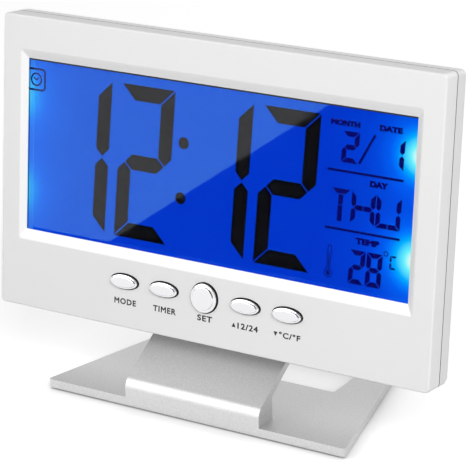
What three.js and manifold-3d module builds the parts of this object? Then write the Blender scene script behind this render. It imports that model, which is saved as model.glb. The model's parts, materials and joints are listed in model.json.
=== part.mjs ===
// Digital alarm clock with a large display, on a plug-in stand. Millimetres, +Z up, face towards -Y.
// The origin is on the table, in the middle of the stand's footprint.
import * as THREE from 'three';
import { mergeVertices } from 'three/addons/utils/BufferGeometryUtils.js';
import Module from 'manifold-3d';

const wasm = await Module();
wasm.setup();

// Shared clearances and walls
const GAP = 0.3;
const WALL = 2;
const THIN_WALL = 1.2;

// Face and case. The face leans back about its bottom edge.
const FACE_WIDTH = 145;
const FACE_HEIGHT = 88.2;
const FACE_CORNER_RADIUS = 1.4;
const FACE_EDGE_ROUND = 0.8;
const TILT_DEGREES = 6.5;
const BEZEL_DEPTH = 6.2;
const CASE_LIP = 1.4;
const CASE_BACK_ROUND = 4.5;

// Frame round the display opening, and the slope at its inner edge
const FRAME_SIDE = 8.4;
const FRAME_TOP = 12.7;
const FRAME_BOTTOM = 23.8;
const BEVEL_SIDE = 1.95;
const BEVEL_TOP = 2.6;
const BEVEL_BOTTOM = 2.95;
const BEVEL_DEPTH = 1.2;
const BEVEL_LIP = 0.2;

// Display stack
const LENS_THICKNESS = 0.8;
const LENS_LAP = 2.2;
const GLASS_THICKNESS = 1.1;
const GLASS_LAP_SIDE = 2;
const GLASS_LAP_END = 1.2;
const CONTACT_LEDGE = 2.8;
const FILM_THICKNESS = 0.25;
const GUIDE_THICKNESS = 2.5;
const TRAY_FLOOR = 1;
const LED_SPACING = 28;
const LED_LENGTH = 3;
const LED_HEIGHT = 1.2;
const LED_WIDTH = 1.6;
const LED_BOARD = 0.8;
const ZEBRA_HEIGHT = 2.4;
const ZEBRA_INSET = 22;

// Front buttons
const BUTTON_SPACING = 13.75;
const BUTTON_TO_GLASS = 0.4;
const BUTTON_WIDTH = 9.4;
const BUTTON_HEIGHT = 4.2;
const ROUND_BUTTON_DIAMETER = 8.6;
const BUTTON_PROUD = 1.3;
const BUTTON_CROWN = 0.7;
const BUTTON_CLEARANCE = 0.25;
const BUTTON_FLANGE = 1;
const BUTTON_FLANGE_THICKNESS = 0.8;
const BUTTON_TRAVEL = 0.5;

// Main board and what is soldered to it
const BOARD_THICKNESS = 1.2;
const BOARD_TO_BOSS = 2.4;
const BOARD_TO_LIP = 0.5;
const BOARD_SCREW_TO_BUTTON = 7.7;
const SWITCH_SIZE = 6;
const SWITCH_THICKNESS = 1.8;
const PLUNGER_DIAMETER = 3.2;
const PLUNGER_LENGTH = 1.5;
const BUZZER_DIAMETER = 10.4;
const BUZZER_PORT = 2.4;
const BUZZER_TO_SCREW = 0.7;
const MICROPHONE_DIAMETER = 6;
const MICROPHONE_TO_BUZZER = 4;
const CHIP_DIAMETER = 10;
const CHIP_HEIGHT = 1.2;
const CHIP_TO_SELECTOR = 4.5;
const CRYSTAL_LENGTH = 6;
const CRYSTAL_DIAMETER = 2;
const SENSOR_DIAMETER = 2.2;
const SENSOR_INSET = 4;
const SENSOR_ABOVE_EDGE = 2.5;
const SENSOR_LEAD = 0.4;
const SENSOR_LEAD_SPACING = 1;
const SENSOR_LEAD_LENGTH = 4.5;

// Backlight selector on the main board
const SELECTOR_WIDTH = 9;
const SELECTOR_HEIGHT = 4.4;
const SELECTOR_STEP = 2;
const SELECTOR_TO_SCREW = 1.3;
const KNOB_SIZE = 3;
const KNOB_PROUD = 1;
const KNOB_STEM_HEIGHT = 1.6;
const KNOB_STEM_DEPTH = 1.4;

// Holes through the back
const SOUND_HOLE_DIAMETER = 1.6;
const SOUND_HOLE_SPACING_X = 4;
const SOUND_HOLE_SPACING_Z = 3;
const VOICE_HOLE_DIAMETER = 2;
const VENT_COUNT = 5;
const VENT_WIDTH = 1.2;
const VENT_HEIGHT = 6.5;
const VENT_PITCH = 2.5;
const VENT_BELOW_SENSOR = 1;

// Screws
const SCREW_DIAMETER = 2.4;
const SCREW_HEAD_DIAMETER = 4.4;
const SCREW_HEAD_HEIGHT = 1.5;
const SCREW_SLOT = 0.5;
const CASE_BOSS_DIAMETER = 6.2;
const CASE_BOSS_REACH = 2;
const CASE_BOSS_TO_TRAY = 1;
const CASE_SCREW_SEAT = 1.6;
const CASE_SCREW_INSET_X = 11;
const CASE_SCREW_INSET_BOTTOM = 9.5;
const CASE_SCREW_LENGTH = 7;
const BOARD_SCREW_LENGTH = 3.6;

// Three AAA cells, side by side, and their bay in the back
const CELL_DIAMETER = 10.5;
const CELL_LENGTH = 44.5;
const CELL_NUB_DIAMETER = 3.8;
const CELL_NUB_HEIGHT = 1;
const CELL_SPACE = 0.6;
const CELL_COUNT = 3;
const BAY_WALL = 3;
const WIRING_SPACE = 2.35;
const CONTACT_THICKNESS = 0.4;
const CONTACT_SIZE = 8.6;
const CONTACT_DIMPLE = 0.7;
const CONTACT_SPRING = 4.2;
const CONTACT_DIMPLE_DIAMETER = 3.6;
const CONTACT_SPRING_DIAMETER = 6;
const CONTACT_TAG_WIDTH = 3;
const CONTACT_TAG_REACH = 2;
const DOOR_THICKNESS = 1.6;
const DOOR_LEDGE = 1.3;
const HOOK_SPACING = 30;
const HOOK_WIDTH = 6;
const HOOK_THICKNESS = 1.4;
const HOOK_REACH = 0.9;
const LATCH_WIDTH = 12;
const LATCH_REACH = 1.2;
const LATCH_RECESS = 0.6;
const BULGE_CHAMFER = 1.4;
const BULGE_CORNER_RADIUS = 2;
const WIRE_DIAMETER = 1;
const WIRE_PAD_INSET = 4.3;

// Plug-in joint between the case and the stand
const TONGUE_WIDTH = 26;
const TONGUE_THICKNESS = 2.4;
const TONGUE_TOP = 15;
const SOCKET_WALL = 2.4;

// Stand: a plate with an opening, and a sloping neck that rises from its front edge
const STAND_DEPTH = 65;
const STAND_FRONT_WIDTH = 101.2;
const STAND_BACK_WIDTH = 70;
const STAND_CORNER_RADIUS = 1.2;
const PLATE_THICKNESS = 2.6;
const FACE_BEHIND_STAND = 7.3;
const FACE_ABOVE_PLATE = 18.3;
const NECK_WIDTH = 45.4;
const NECK_BELOW_SOCKET = 2.4;
const NECK_FOLD_HEIGHT = 4.8;
const NECK_FOLD_RADIUS = 2.4;
const NECK_THICKNESS = 2.2;
const NECK_ROOT_DEPTH = 7.6;
const NECK_RIB_HEIGHT = 1.6;
const NECK_RIB_WIDTH = 2;
const NECK_RIB_INSET = 3.4;
const CUTOUT_WIDTH = 58;
const CUTOUT_FRONT = 26.7;
const CUTOUT_SLOPE_DEPTH = 6.4;
const CUTOUT_SLOPE_DROP = 0.5;
const STAND_REAR_BAR = 11.2;
const CUTOUT_CORNER_RADIUS = 2;
const FOOT_DIAMETER = 8;
const FOOT_PROUD = 0.6;
const FOOT_SEAT = 0.5;
const FOOT_INSET = 8;

// Places worked out from the sizes above, in the face's own frame:
// x to the right, y back from the face, z up from the face's bottom edge.
const tilt = THREE.MathUtils.degToRad(TILT_DEGREES);
const halfFace = FACE_WIDTH / 2;
const halfWindow = halfFace - FRAME_SIDE;
const windowBottom = FRAME_BOTTOM;
const windowTop = FACE_HEIGHT - FRAME_TOP;
const windowMiddle = (windowBottom + windowTop) / 2;
const frameBack = BEVEL_DEPTH + BEVEL_LIP;
const lensFront = frameBack + GAP;
const plateBack = lensFront + LENS_THICKNESS;
const glassFront = plateBack + GAP;
const ledgeBack = glassFront + GLASS_THICKNESS;
const glassBack = ledgeBack + GLASS_THICKNESS;
const diffuserFront = glassBack + GAP;
const guideFront = diffuserFront + FILM_THICKNESS + GAP;
const guideBack = guideFront + GUIDE_THICKNESS;
const reflectorFront = guideBack + GAP;
const trayFloorFront = reflectorFront + FILM_THICKNESS + GAP;
const trayBack = trayFloorFront + TRAY_FLOOR;
const glassHalf = halfWindow + GLASS_LAP_SIDE;
const glassBottom = windowBottom - GLASS_LAP_END;
const ledgeBottom = glassBottom - CONTACT_LEDGE;
const glassTop = windowTop + GLASS_LAP_END;
const trayHalf = glassHalf + THIN_WALL + GAP;
const trayBottom = glassBottom + GAP;
const trayTop = glassTop + GAP;
const trayInner = trayHalf - THIN_WALL;
const boardFront = ledgeBack + ZEBRA_HEIGHT + 2 * GAP;
const boardBack = boardFront + BOARD_THICKNESS;
const boardTop = trayBottom - GAP;
const boardBottom = WALL + GAP + THIN_WALL + BOARD_TO_LIP;
const boardMiddle = (boardBottom + boardTop) / 2;
const boardHalf = halfFace - CASE_SCREW_INSET_X - CASE_BOSS_DIAMETER / 2 - BOARD_TO_BOSS;
const outerButtonEnd = 2 * BUTTON_SPACING + BUTTON_WIDTH / 2 + BUTTON_FLANGE;
const boardScrewX = outerButtonEnd + BOARD_SCREW_TO_BUTTON + CASE_BOSS_DIAMETER / 2;
const buttonZ = ledgeBottom - BUTTON_TO_GLASS - BUTTON_FLANGE - ROUND_BUTTON_DIAMETER / 2;
const partsFront = boardBack + GAP;
const besideScrew = boardScrewX - SCREW_HEAD_DIAMETER / 2;
const buzzerX = besideScrew - BUZZER_TO_SCREW - BUZZER_DIAMETER / 2;
const microphoneX = buzzerX - (BUZZER_DIAMETER + MICROPHONE_DIAMETER) / 2 - MICROPHONE_TO_BUZZER;
const selectorX = -besideScrew + SELECTOR_TO_SCREW + SELECTOR_WIDTH / 2;
const chipX = selectorX + (SELECTOR_WIDTH + CHIP_DIAMETER) / 2 + CHIP_TO_SELECTOR;
const sensorX = boardHalf - SENSOR_INSET;
const sensorZ = boardBottom + SENSOR_ABOVE_EDGE;
const backInner = trayBack + WIRING_SPACE;
const backOuter = backInner + WALL;
const rimFront = BEZEL_DEPTH + GAP;
const bayFloorFront = trayBack + GAP;
const bayFloor = bayFloorFront + TRAY_FLOOR;
const cellY = bayFloor + GAP + CELL_DIAMETER / 2;
const doorInner = cellY + CELL_DIAMETER / 2 + GAP;
const doorOuter = doorInner + DOOR_THICKNESS;
const bayHalfLength = (CELL_LENGTH + CONTACT_SPRING + CONTACT_DIMPLE) / 2 + CONTACT_THICKNESS + 2 * GAP;
const cellPitch = CELL_DIAMETER + CELL_SPACE;
const bayHalfHeight = ((CELL_COUNT - 1) * cellPitch + CELL_DIAMETER) / 2 + 1.5 * GAP;
const bulgeHalf = bayHalfLength + BAY_WALL;
const bulgeBottom = boardMiddle + BUZZER_DIAMETER / 2 + GAP;
const bayBottom = bulgeBottom + BAY_WALL;
const bayMiddle = bayBottom + bayHalfHeight;
const bayTop = bayMiddle + bayHalfHeight;
const bulgeTop = bayTop + BAY_WALL;
const socketTop = TONGUE_TOP + GAP + SOCKET_WALL;
const tongueFront = backOuter + GAP;
const tongueBack = tongueFront + TONGUE_THICKNESS;
const screwHole = SCREW_DIAMETER / 2 + GAP;
const bossBack = rimFront + CASE_BOSS_REACH;
const tubeFront = bossBack + GAP;
const screwSeat = tubeFront + CASE_SCREW_SEAT;
const caseScrewX = halfFace - CASE_SCREW_INSET_X;
const caseScrewTop = trayTop + CASE_BOSS_TO_TRAY + CASE_BOSS_DIAMETER / 2;
const caseScrews = [
  { name: 'case_screw_top_left', x: -caseScrewX, z: caseScrewTop },
  { name: 'case_screw_top_right', x: caseScrewX, z: caseScrewTop },
  { name: 'case_screw_bottom_left', x: -caseScrewX, z: CASE_SCREW_INSET_BOTTOM },
  { name: 'case_screw_bottom_right', x: caseScrewX, z: CASE_SCREW_INSET_BOTTOM },
];

// The same places in the stand's frame, which is the part's own
const plateBottom = FOOT_PROUD;
const plateTop = plateBottom + PLATE_THICKNESS;
const standFront = -STAND_DEPTH / 2;
const standBack = STAND_DEPTH / 2;
const faceY = standFront + FACE_BEHIND_STAND;
const faceZ = plateTop + FACE_ABOVE_PLATE;

// Materials
const material = (color, roughness, metalness = 0) =>
  new THREE.MeshStandardMaterial({ color, roughness, metalness });
const caseWhite = material('#e6e6e5', 0.5);
const standSilver = material('#bdbdbd', 0.38, 0.6);
const chrome = material('#eeeeee', 0.12, 0.9);
const clearPlastic = new THREE.MeshStandardMaterial({
  color: '#dfe8ff', roughness: 0.05, transparent: true, opacity: 0.3,
});
const displayBlue = material('#0a34d8', 0.15);
const milkWhite = material('#f4f4f0', 0.6);
const boardGreen = material('#1f6b3a', 0.55);
const black = material('#17181a', 0.6);
const silicone = material('#3a3a40', 0.8);
const nickel = material('#c9c7c0', 0.3, 0.9);
const steel = material('#a5a7aa', 0.35, 0.9);
const cellJacket = material('#2f6f86', 0.4, 0.3);
const rubber = material('#2a2a2a', 0.9);
const redWire = material('#b3201c', 0.5);
const blackWire = material('#151515', 0.5);

// Solids: closed geometry goes in, joined or cut geometry comes out

function toSolid(geometry) {
  const bare = geometry.clone();
  bare.deleteAttribute('normal');
  bare.deleteAttribute('uv');
  const merged = mergeVertices(bare, 1e-5);
  return new wasm.Manifold(new wasm.Mesh({
    numProp: 3,
    vertProperties: new Float32Array(merged.attributes.position.array),
    triVerts: new Uint32Array(merged.index.array),
  }));
}

function toGeometry(solid) {
  const mesh = solid.getMesh();
  const geometry = new THREE.BufferGeometry();
  geometry.setAttribute('position', new THREE.BufferAttribute(mesh.vertProperties, 3));
  geometry.setIndex(new THREE.BufferAttribute(mesh.triVerts, 1));
  return geometry;
}

const joined = (...geometries) =>
  toGeometry(geometries.map(toSolid).reduce((whole, piece) => whole.add(piece)));

const cut = (geometry, ...tools) =>
  toGeometry(tools.map(toSolid).reduce((whole, tool) => whole.subtract(tool), toSolid(geometry)));

// A box between two opposite corners
function box(x0, x1, y0, y1, z0, z1) {
  const geometry = new THREE.BoxGeometry(x1 - x0, y1 - y0, z1 - z0);
  return geometry.translate((x0 + x1) / 2, (y0 + y1) / 2, (z0 + z1) / 2);
}

// A box that is as wide to the left as to the right
const middleBox = (half, y0, y1, z0, z1) => box(-half, half, y0, y1, z0, z1);

// Cylinders along y and along x
function rodY(radius, y0, y1, x, z, sides = 20) {
  return new THREE.CylinderGeometry(radius, radius, y1 - y0, sides).translate(x, (y0 + y1) / 2, z);
}

function rodX(radius, x0, x1, y, z, sides = 20) {
  const geometry = new THREE.CylinderGeometry(radius, radius, x1 - x0, sides).rotateZ(Math.PI / 2);
  return geometry.translate((x0 + x1) / 2, y, z);
}

// Extrusions of a flat shape: drawn in x and z and pushed along y, or drawn in y and z and pushed along x
function alongY(shape, y0, y1, curveSegments = 8) {
  const geometry = new THREE.ExtrudeGeometry(shape, { depth: y1 - y0, bevelEnabled: false, curveSegments });
  return geometry.rotateX(Math.PI / 2).translate(0, y1, 0);
}

function alongX(shape, x0, x1, curveSegments = 6) {
  const geometry = new THREE.ExtrudeGeometry(shape, { depth: x1 - x0, bevelEnabled: false, curveSegments });
  const turn = new THREE.Matrix4().makeBasis(
    new THREE.Vector3(0, 1, 0), new THREE.Vector3(0, 0, 1), new THREE.Vector3(1, 0, 0));
  return geometry.applyMatrix4(turn).translate(x0, 0, 0);
}

function ellipseShape(x, z, width, height) {
  return new THREE.Shape().absellipse(x, z, width / 2, height / 2, 0, 2 * Math.PI);
}

// Points of a rectangle with round corners, in x and z, at the depth y
function rectangleRing(y, x0, x1, z0, z1, radius, steps = 4) {
  const corners = [
    [x1 - radius, z0 + radius, -Math.PI / 2],
    [x1 - radius, z1 - radius, 0],
    [x0 + radius, z1 - radius, Math.PI / 2],
    [x0 + radius, z0 + radius, Math.PI],
  ];
  return corners.flatMap(([x, z, start]) => Array.from({ length: steps + 1 }, (_, i) => {
    const angle = start + (i / steps) * Math.PI / 2;
    return new THREE.Vector3(x + radius * Math.cos(angle), y, z + radius * Math.sin(angle));
  }));
}

function ellipseRing(y, x, z, width, height, sides = 28) {
  return Array.from({ length: sides }, (_, i) => {
    const angle = (i / sides) * 2 * Math.PI;
    return new THREE.Vector3(x + width / 2 * Math.cos(angle), y, z + height / 2 * Math.sin(angle));
  });
}

// A closed skin over rings of equally many points, front ring first, with flat ends
function loft(rings) {
  const count = rings[0].length;
  const points = rings.flat();
  const centre = ring => ring.reduce((sum, p) => sum.add(p), new THREE.Vector3()).divideScalar(count);
  const faces = [];
  for (let r = 0; r + 1 < rings.length; r += 1) {
    for (let i = 0; i < count; i += 1) {
      const j = (i + 1) % count;
      const [a, b, c, d] = [r * count + i, r * count + j, (r + 1) * count + j, (r + 1) * count + i];
      faces.push(a, c, b, a, d, c);
    }
  }
  const last = (rings.length - 1) * count;
  const frontCentre = points.push(centre(rings[0])) - 1;
  const backCentre = points.push(centre(rings[rings.length - 1])) - 1;
  for (let i = 0; i < count; i += 1) {
    const j = (i + 1) % count;
    faces.push(frontCentre, i, j, backCentre, last + j, last + i);
  }
  const geometry = new THREE.BufferGeometry().setFromPoints(points);
  geometry.setIndex(faces);
  return geometry;
}

// A pocket whose opening narrows from one rectangle to another, carried on a little past its mouth
function taperedPocket(y0, outer, y1, inner) {
  const past = outer.map((value, i) => value + (value - inner[i]) / 2);
  const front = rectangleRing(y0 - (y1 - y0) / 2, ...past, 0.2, 1);
  return loft([front, rectangleRing(y1, ...inner, 0.2, 1)]);
}

// A round wire through given points
function wire(points, diameter) {
  const section = new THREE.Shape().absarc(0, 0, diameter / 2, 0, 2 * Math.PI);
  const path = new THREE.CatmullRomCurve3(points.map(p => new THREE.Vector3(...p)));
  return new THREE.ExtrudeGeometry(section, { steps: 16, extrudePath: path, curveSegments: 4 });
}

const clock = new THREE.Group();
const head = new THREE.Group();
head.position.set(0, faceY, faceZ);
head.rotation.x = -tilt;
clock.add(head);

function addPiece(group, name, geometry, look) {
  const mesh = new THREE.Mesh(geometry, look);
  mesh.name = name;
  group.add(mesh);
}

// Front bezel: the face plate with its sloping frame, the side walls, button holes, bosses and posts
const buttons = [
  { name: 'mode', x: -2 * BUTTON_SPACING, round: false },
  { name: 'timer', x: -BUTTON_SPACING, round: false },
  { name: 'set', x: 0, round: true },
  { name: 'up', x: BUTTON_SPACING, round: false },
  { name: 'down', x: 2 * BUTTON_SPACING, round: false },
].map(button => ({
  ...button,
  width: button.round ? ROUND_BUTTON_DIAMETER : BUTTON_WIDTH,
  height: button.round ? ROUND_BUTTON_DIAMETER : BUTTON_HEIGHT,
}));

function caseRing(y, inset, radius) {
  return rectangleRing(y, -halfFace + inset, halfFace - inset, inset, FACE_HEIGHT - inset, radius);
}

function roundedFace(depth) {
  const rings = [0, 1, 2, 3].map(step => {
    const angle = (step / 3) * Math.PI / 2;
    const inset = FACE_EDGE_ROUND * (1 - Math.sin(angle));
    return caseRing(FACE_EDGE_ROUND * (1 - Math.cos(angle)), inset, FACE_CORNER_RADIUS - inset / 2);
  });
  return loft([...rings, caseRing(depth, 0, FACE_CORNER_RADIUS)]);
}

function frontBezel() {
  const cavity = middleBox(halfFace - WALL, plateBack, BEZEL_DEPTH + 1, WALL, FACE_HEIGHT - WALL);
  const windowInner = [-halfWindow, halfWindow, windowBottom, windowTop];
  const windowOuter = [
    -halfWindow - BEVEL_SIDE, halfWindow + BEVEL_SIDE,
    windowBottom - BEVEL_BOTTOM, windowTop + BEVEL_TOP,
  ];
  const opening = middleBox(halfWindow, BEVEL_DEPTH - GAP, plateBack + 1, windowBottom, windowTop);
  const lensPocket = middleBox(halfWindow + LENS_LAP + GAP, frameBack, plateBack + 1,
    windowBottom - LENS_LAP - GAP, windowTop + LENS_LAP + GAP);
  const holes = buttons.map(button => alongY(
    ellipseShape(button.x, buttonZ,
      button.width + 2 * BUTTON_CLEARANCE, button.height + 2 * BUTTON_CLEARANCE),
    -1, plateBack + 1));
  const bevel = taperedPocket(0, windowOuter, BEVEL_DEPTH, windowInner);
  const shell = cut(roundedFace(BEZEL_DEPTH), cavity, bevel, opening, lensPocket, ...holes);
  const rooted = plateBack - GAP;
  const bosses = caseScrews.map(({ x, z }) => rodY(CASE_BOSS_DIAMETER / 2, rooted, bossBack, x, z));
  const posts = [-boardScrewX, boardScrewX].map(x =>
    rodY(CASE_BOSS_DIAMETER / 2, rooted, boardFront - GAP, x, buttonZ));
  const bores = caseScrews.map(({ x, z }) => rodY(screwHole, plateBack + GAP, bossBack + 1, x, z));
  const postBores = [-boardScrewX, boardScrewX].map(x =>
    rodY(screwHole, plateBack + GAP, boardFront + 1, x, buttonZ));
  return cut(joined(shell, ...bosses, ...posts), ...bores, ...postBores);
}
addPiece(head, 'front_bezel', frontBezel(), caseWhite);

// Display stack, from the front: clear window, liquid crystal cell, diffuser, light guide, reflector, tray
addPiece(head, 'display_window', middleBox(halfWindow + LENS_LAP, lensFront, plateBack,
  windowBottom - LENS_LAP, windowTop + LENS_LAP), clearPlastic);
addPiece(head, 'liquid_crystal_cell', joined(
  middleBox(glassHalf, glassFront, ledgeBack, ledgeBottom, glassTop),
  middleBox(glassHalf, ledgeBack, glassBack, glassBottom, glassTop)), displayBlue);

const guideHalf = trayInner - LED_BOARD - LED_HEIGHT - 2 * GAP;
const pocketBottom = trayBottom + THIN_WALL;
const pocketTop = trayTop - THIN_WALL;
const sheet = (half, y, thickness) =>
  middleBox(half, y, y + thickness, pocketBottom + GAP, pocketTop - GAP);
addPiece(head, 'diffuser_film', sheet(guideHalf, diffuserFront, FILM_THICKNESS), milkWhite);
addPiece(head, 'light_guide', sheet(guideHalf, guideFront, GUIDE_THICKNESS), clearPlastic);
addPiece(head, 'reflector_film', sheet(guideHalf, reflectorFront, FILM_THICKNESS), milkWhite);
addPiece(head, 'display_tray', cut(
  middleBox(trayHalf, diffuserFront, trayBack, trayBottom, trayTop),
  middleBox(trayInner, diffuserFront - 1, trayFloorFront, pocketBottom, pocketTop)), milkWhite);

// One strip with two lamps shines into each end of the light guide
function ledStrip(side) {
  const edge = trayInner - GAP;
  const strip = box(edge - LED_BOARD, edge, guideFront, guideBack, pocketBottom + GAP, pocketTop - GAP);
  const middle = (guideFront + guideBack) / 2;
  const lamps = [-1, 1].map(way => {
    const z = windowMiddle + way * LED_SPACING / 2;
    return box(edge - LED_BOARD - LED_HEIGHT, edge - LED_BOARD / 2, middle - LED_WIDTH / 2,
      middle + LED_WIDTH / 2, z - LED_LENGTH / 2, z + LED_LENGTH / 2);
  });
  const geometry = joined(strip, ...lamps);
  return side < 0 ? geometry.rotateZ(Math.PI).translate(0, 2 * middle, 0) : geometry;
}
addPiece(head, 'led_strip_left', ledStrip(-1), milkWhite);
addPiece(head, 'led_strip_right', ledStrip(1), milkWhite);
addPiece(head, 'zebra_connector', middleBox(glassHalf - ZEBRA_INSET, ledgeBack + GAP, boardFront - GAP,
  ledgeBottom + GAP, glassBottom - GAP), silicone);

// Buttons: crowned caps on a flange that holds them behind the face plate
function buttonCap({ x, width, height }) {
  const z = buttonZ;
  const crown = [0, 1, 2, 3].map(step => {
    const angle = (step / 3) * Math.PI / 2;
    const inset = 1.6 * BUTTON_CROWN * (1 - Math.sin(angle));
    const y = -BUTTON_PROUD + BUTTON_CROWN * (1 - Math.cos(angle));
    return ellipseRing(y, x, z, width - 2 * inset, height - 2 * inset);
  });
  const flangeFront = glassFront;
  const cap = loft([...crown, ellipseRing(flangeFront + BUTTON_FLANGE_THICKNESS, x, z, width, height)]);
  const flange = alongY(ellipseShape(x, z, width + 2 * BUTTON_FLANGE, height + 2 * BUTTON_FLANGE),
    flangeFront, flangeFront + BUTTON_FLANGE_THICKNESS);
  return joined(cap, flange);
}

const plungerFront = glassFront + BUTTON_FLANGE_THICKNESS + GAP;
const plungerBack = plungerFront + PLUNGER_LENGTH;
const switchBack = boardFront - GAP;
for (const button of buttons) {
  const { name, x } = button;
  const z = buttonZ;
  addPiece(head, `${name}_button`, buttonCap(button), chrome);
  addPiece(head, `${name}_switch_plunger`,
    rodY(PLUNGER_DIAMETER / 2, plungerFront, plungerBack, x, z), black);
  addPiece(head, `${name}_switch_body`, cut(
    box(x - SWITCH_SIZE / 2, x + SWITCH_SIZE / 2, switchBack - SWITCH_THICKNESS, switchBack,
      z - SWITCH_SIZE / 2, z + SWITCH_SIZE / 2),
    rodY(PLUNGER_DIAMETER / 2 + GAP, 0, plungerBack + BUTTON_TRAVEL + GAP, x, z)), steel);
}

// Main board, with its screws and the parts on its back
addPiece(head, 'main_board', cut(
  middleBox(boardHalf, boardFront, boardBack, boardBottom, boardTop),
  ...[-boardScrewX, boardScrewX].map(x => rodY(screwHole, 0, boardBack + 1, x, buttonZ)),
), boardGreen);

// A pan-head screw that points at the face, its head's seat at the depth y
function screw(x, y, z, length) {
  const [along, across] = [SCREW_HEAD_DIAMETER / 3, SCREW_SLOT / 2];
  const [slotFront, slotBack] = [y + SCREW_HEAD_HEIGHT / 2, y + SCREW_HEAD_HEIGHT + 1];
  return cut(
    joined(rodY(SCREW_DIAMETER / 2, y - length, y + SCREW_HEAD_HEIGHT / 2, x, z, 16),
      rodY(SCREW_HEAD_DIAMETER / 2, y, y + SCREW_HEAD_HEIGHT, x, z)),
    box(x - along, x + along, slotFront, slotBack, z - across, z + across),
    box(x - across, x + across, slotFront, slotBack, z - along, z + along));
}
addPiece(head, 'board_screw_left', screw(-boardScrewX, partsFront, buttonZ, BOARD_SCREW_LENGTH), steel);
addPiece(head, 'board_screw_right', screw(boardScrewX, partsFront, buttonZ, BOARD_SCREW_LENGTH), steel);

const partsBack = backInner - GAP;
addPiece(head, 'buzzer', cut(
  rodY(BUZZER_DIAMETER / 2, partsFront, partsBack, buzzerX, boardMiddle, 24),
  rodY(BUZZER_PORT / 2, partsBack - 1, partsBack + 1, buzzerX, boardMiddle)), black);
addPiece(head, 'microphone',
  rodY(MICROPHONE_DIAMETER / 2, partsFront, partsBack, microphoneX, boardMiddle), steel);

// The controller lies under a drop of resin, which is a low dome
const resinRing = (height, share) => ellipseRing(partsFront + height * CHIP_HEIGHT, chipX, boardMiddle,
  share * CHIP_DIAMETER, share * CHIP_DIAMETER, 20);
addPiece(head, 'controller_chip',
  loft([resinRing(0, 1), resinRing(2 / 3, 0.84), resinRing(1, 0.5)]), black);
addPiece(head, 'quartz_crystal', rodX(CRYSTAL_DIAMETER / 2, -CRYSTAL_LENGTH / 2, CRYSTAL_LENGTH / 2,
  partsFront + CRYSTAL_DIAMETER / 2, boardMiddle, 14), nickel);

// Temperature sensor: a bead on two short leads at the board's end
const beadRadius = SENSOR_DIAMETER / 2;
addPiece(head, 'temperature_sensor', joined(
  new THREE.SphereGeometry(beadRadius, 12, 8).translate(sensorX, partsFront + beadRadius, sensorZ),
  ...[-1, 1].map(side => {
    const [x, y] = [sensorX + side * SENSOR_LEAD_SPACING / 2, partsFront + beadRadius];
    const half = SENSOR_LEAD / 2;
    return box(x - half, x + half, y - half, y + half, sensorZ, sensorZ + SENSOR_LEAD_LENGTH);
  }),
), black);

// Backlight selector: a slide switch whose knob comes out through the back
const stemHalf = KNOB_SIZE / 2 - GAP;
const stemFront = partsBack - KNOB_STEM_DEPTH;
const knobBox = (halfX, y0, y1, halfZ) =>
  box(selectorX - halfX, selectorX + halfX, y0, y1, boardMiddle - halfZ, boardMiddle + halfZ);
addPiece(head, 'selector_switch_body', cut(
  knobBox(SELECTOR_WIDTH / 2, partsFront, partsBack, SELECTOR_HEIGHT / 2),
  knobBox(SELECTOR_STEP + stemHalf + GAP, stemFront - GAP, partsBack + 1, KNOB_STEM_HEIGHT / 2 + GAP)), steel);
addPiece(head, 'selector_knob', joined(
  knobBox(stemHalf, stemFront, backInner + 1, KNOB_STEM_HEIGHT / 2),
  knobBox(KNOB_SIZE / 2, backInner + GAP, backOuter + KNOB_PROUD, KNOB_SIZE / 2)), black);

// Rear cover: a shell with a rounded back, a locating lip, the cell bay and the stand's socket
const rows = Array.from({ length: CELL_COUNT }, (_, i) =>
  bayMiddle + (i - (CELL_COUNT - 1) / 2) * cellPitch);
const tagY = bayFloor + GAP;
const tagHalf = CONTACT_TAG_WIDTH / 2;
const tagEnd = bulgeHalf + CONTACT_TAG_REACH;
const doorHalf = bayHalfLength + DOOR_LEDGE - GAP;
const doorBottom = bayBottom - DOOR_LEDGE + GAP;
const doorTop = bayTop + DOOR_LEDGE - GAP;
const hookX = [-HOOK_SPACING / 2, HOOK_SPACING / 2];
const hookHalf = HOOK_WIDTH / 2;
const hookBack = doorInner - 2 * GAP;
const hookFront = hookBack - HOOK_THICKNESS;
const hookBottom = doorBottom - HOOK_REACH;
const hookWeb = bayBottom + GAP;
const hookTop = hookWeb + HOOK_REACH;
const latchHalf = LATCH_WIDTH / 2;
const latchTop = doorTop + LATCH_REACH;

function roundedBack(y0, inset) {
  const round = CASE_BACK_ROUND;
  const arc = [0, 1, 2, 3, 4].map(step => {
    const angle = (step / 4) * Math.PI / 2;
    const across = inset + round * (1 - Math.cos(angle));
    const y = backOuter - inset - round * (1 - Math.sin(angle));
    return caseRing(y, across, FACE_CORNER_RADIUS + across / 3);
  });
  return loft([caseRing(y0, inset, FACE_CORNER_RADIUS), ...arc]);
}

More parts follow.
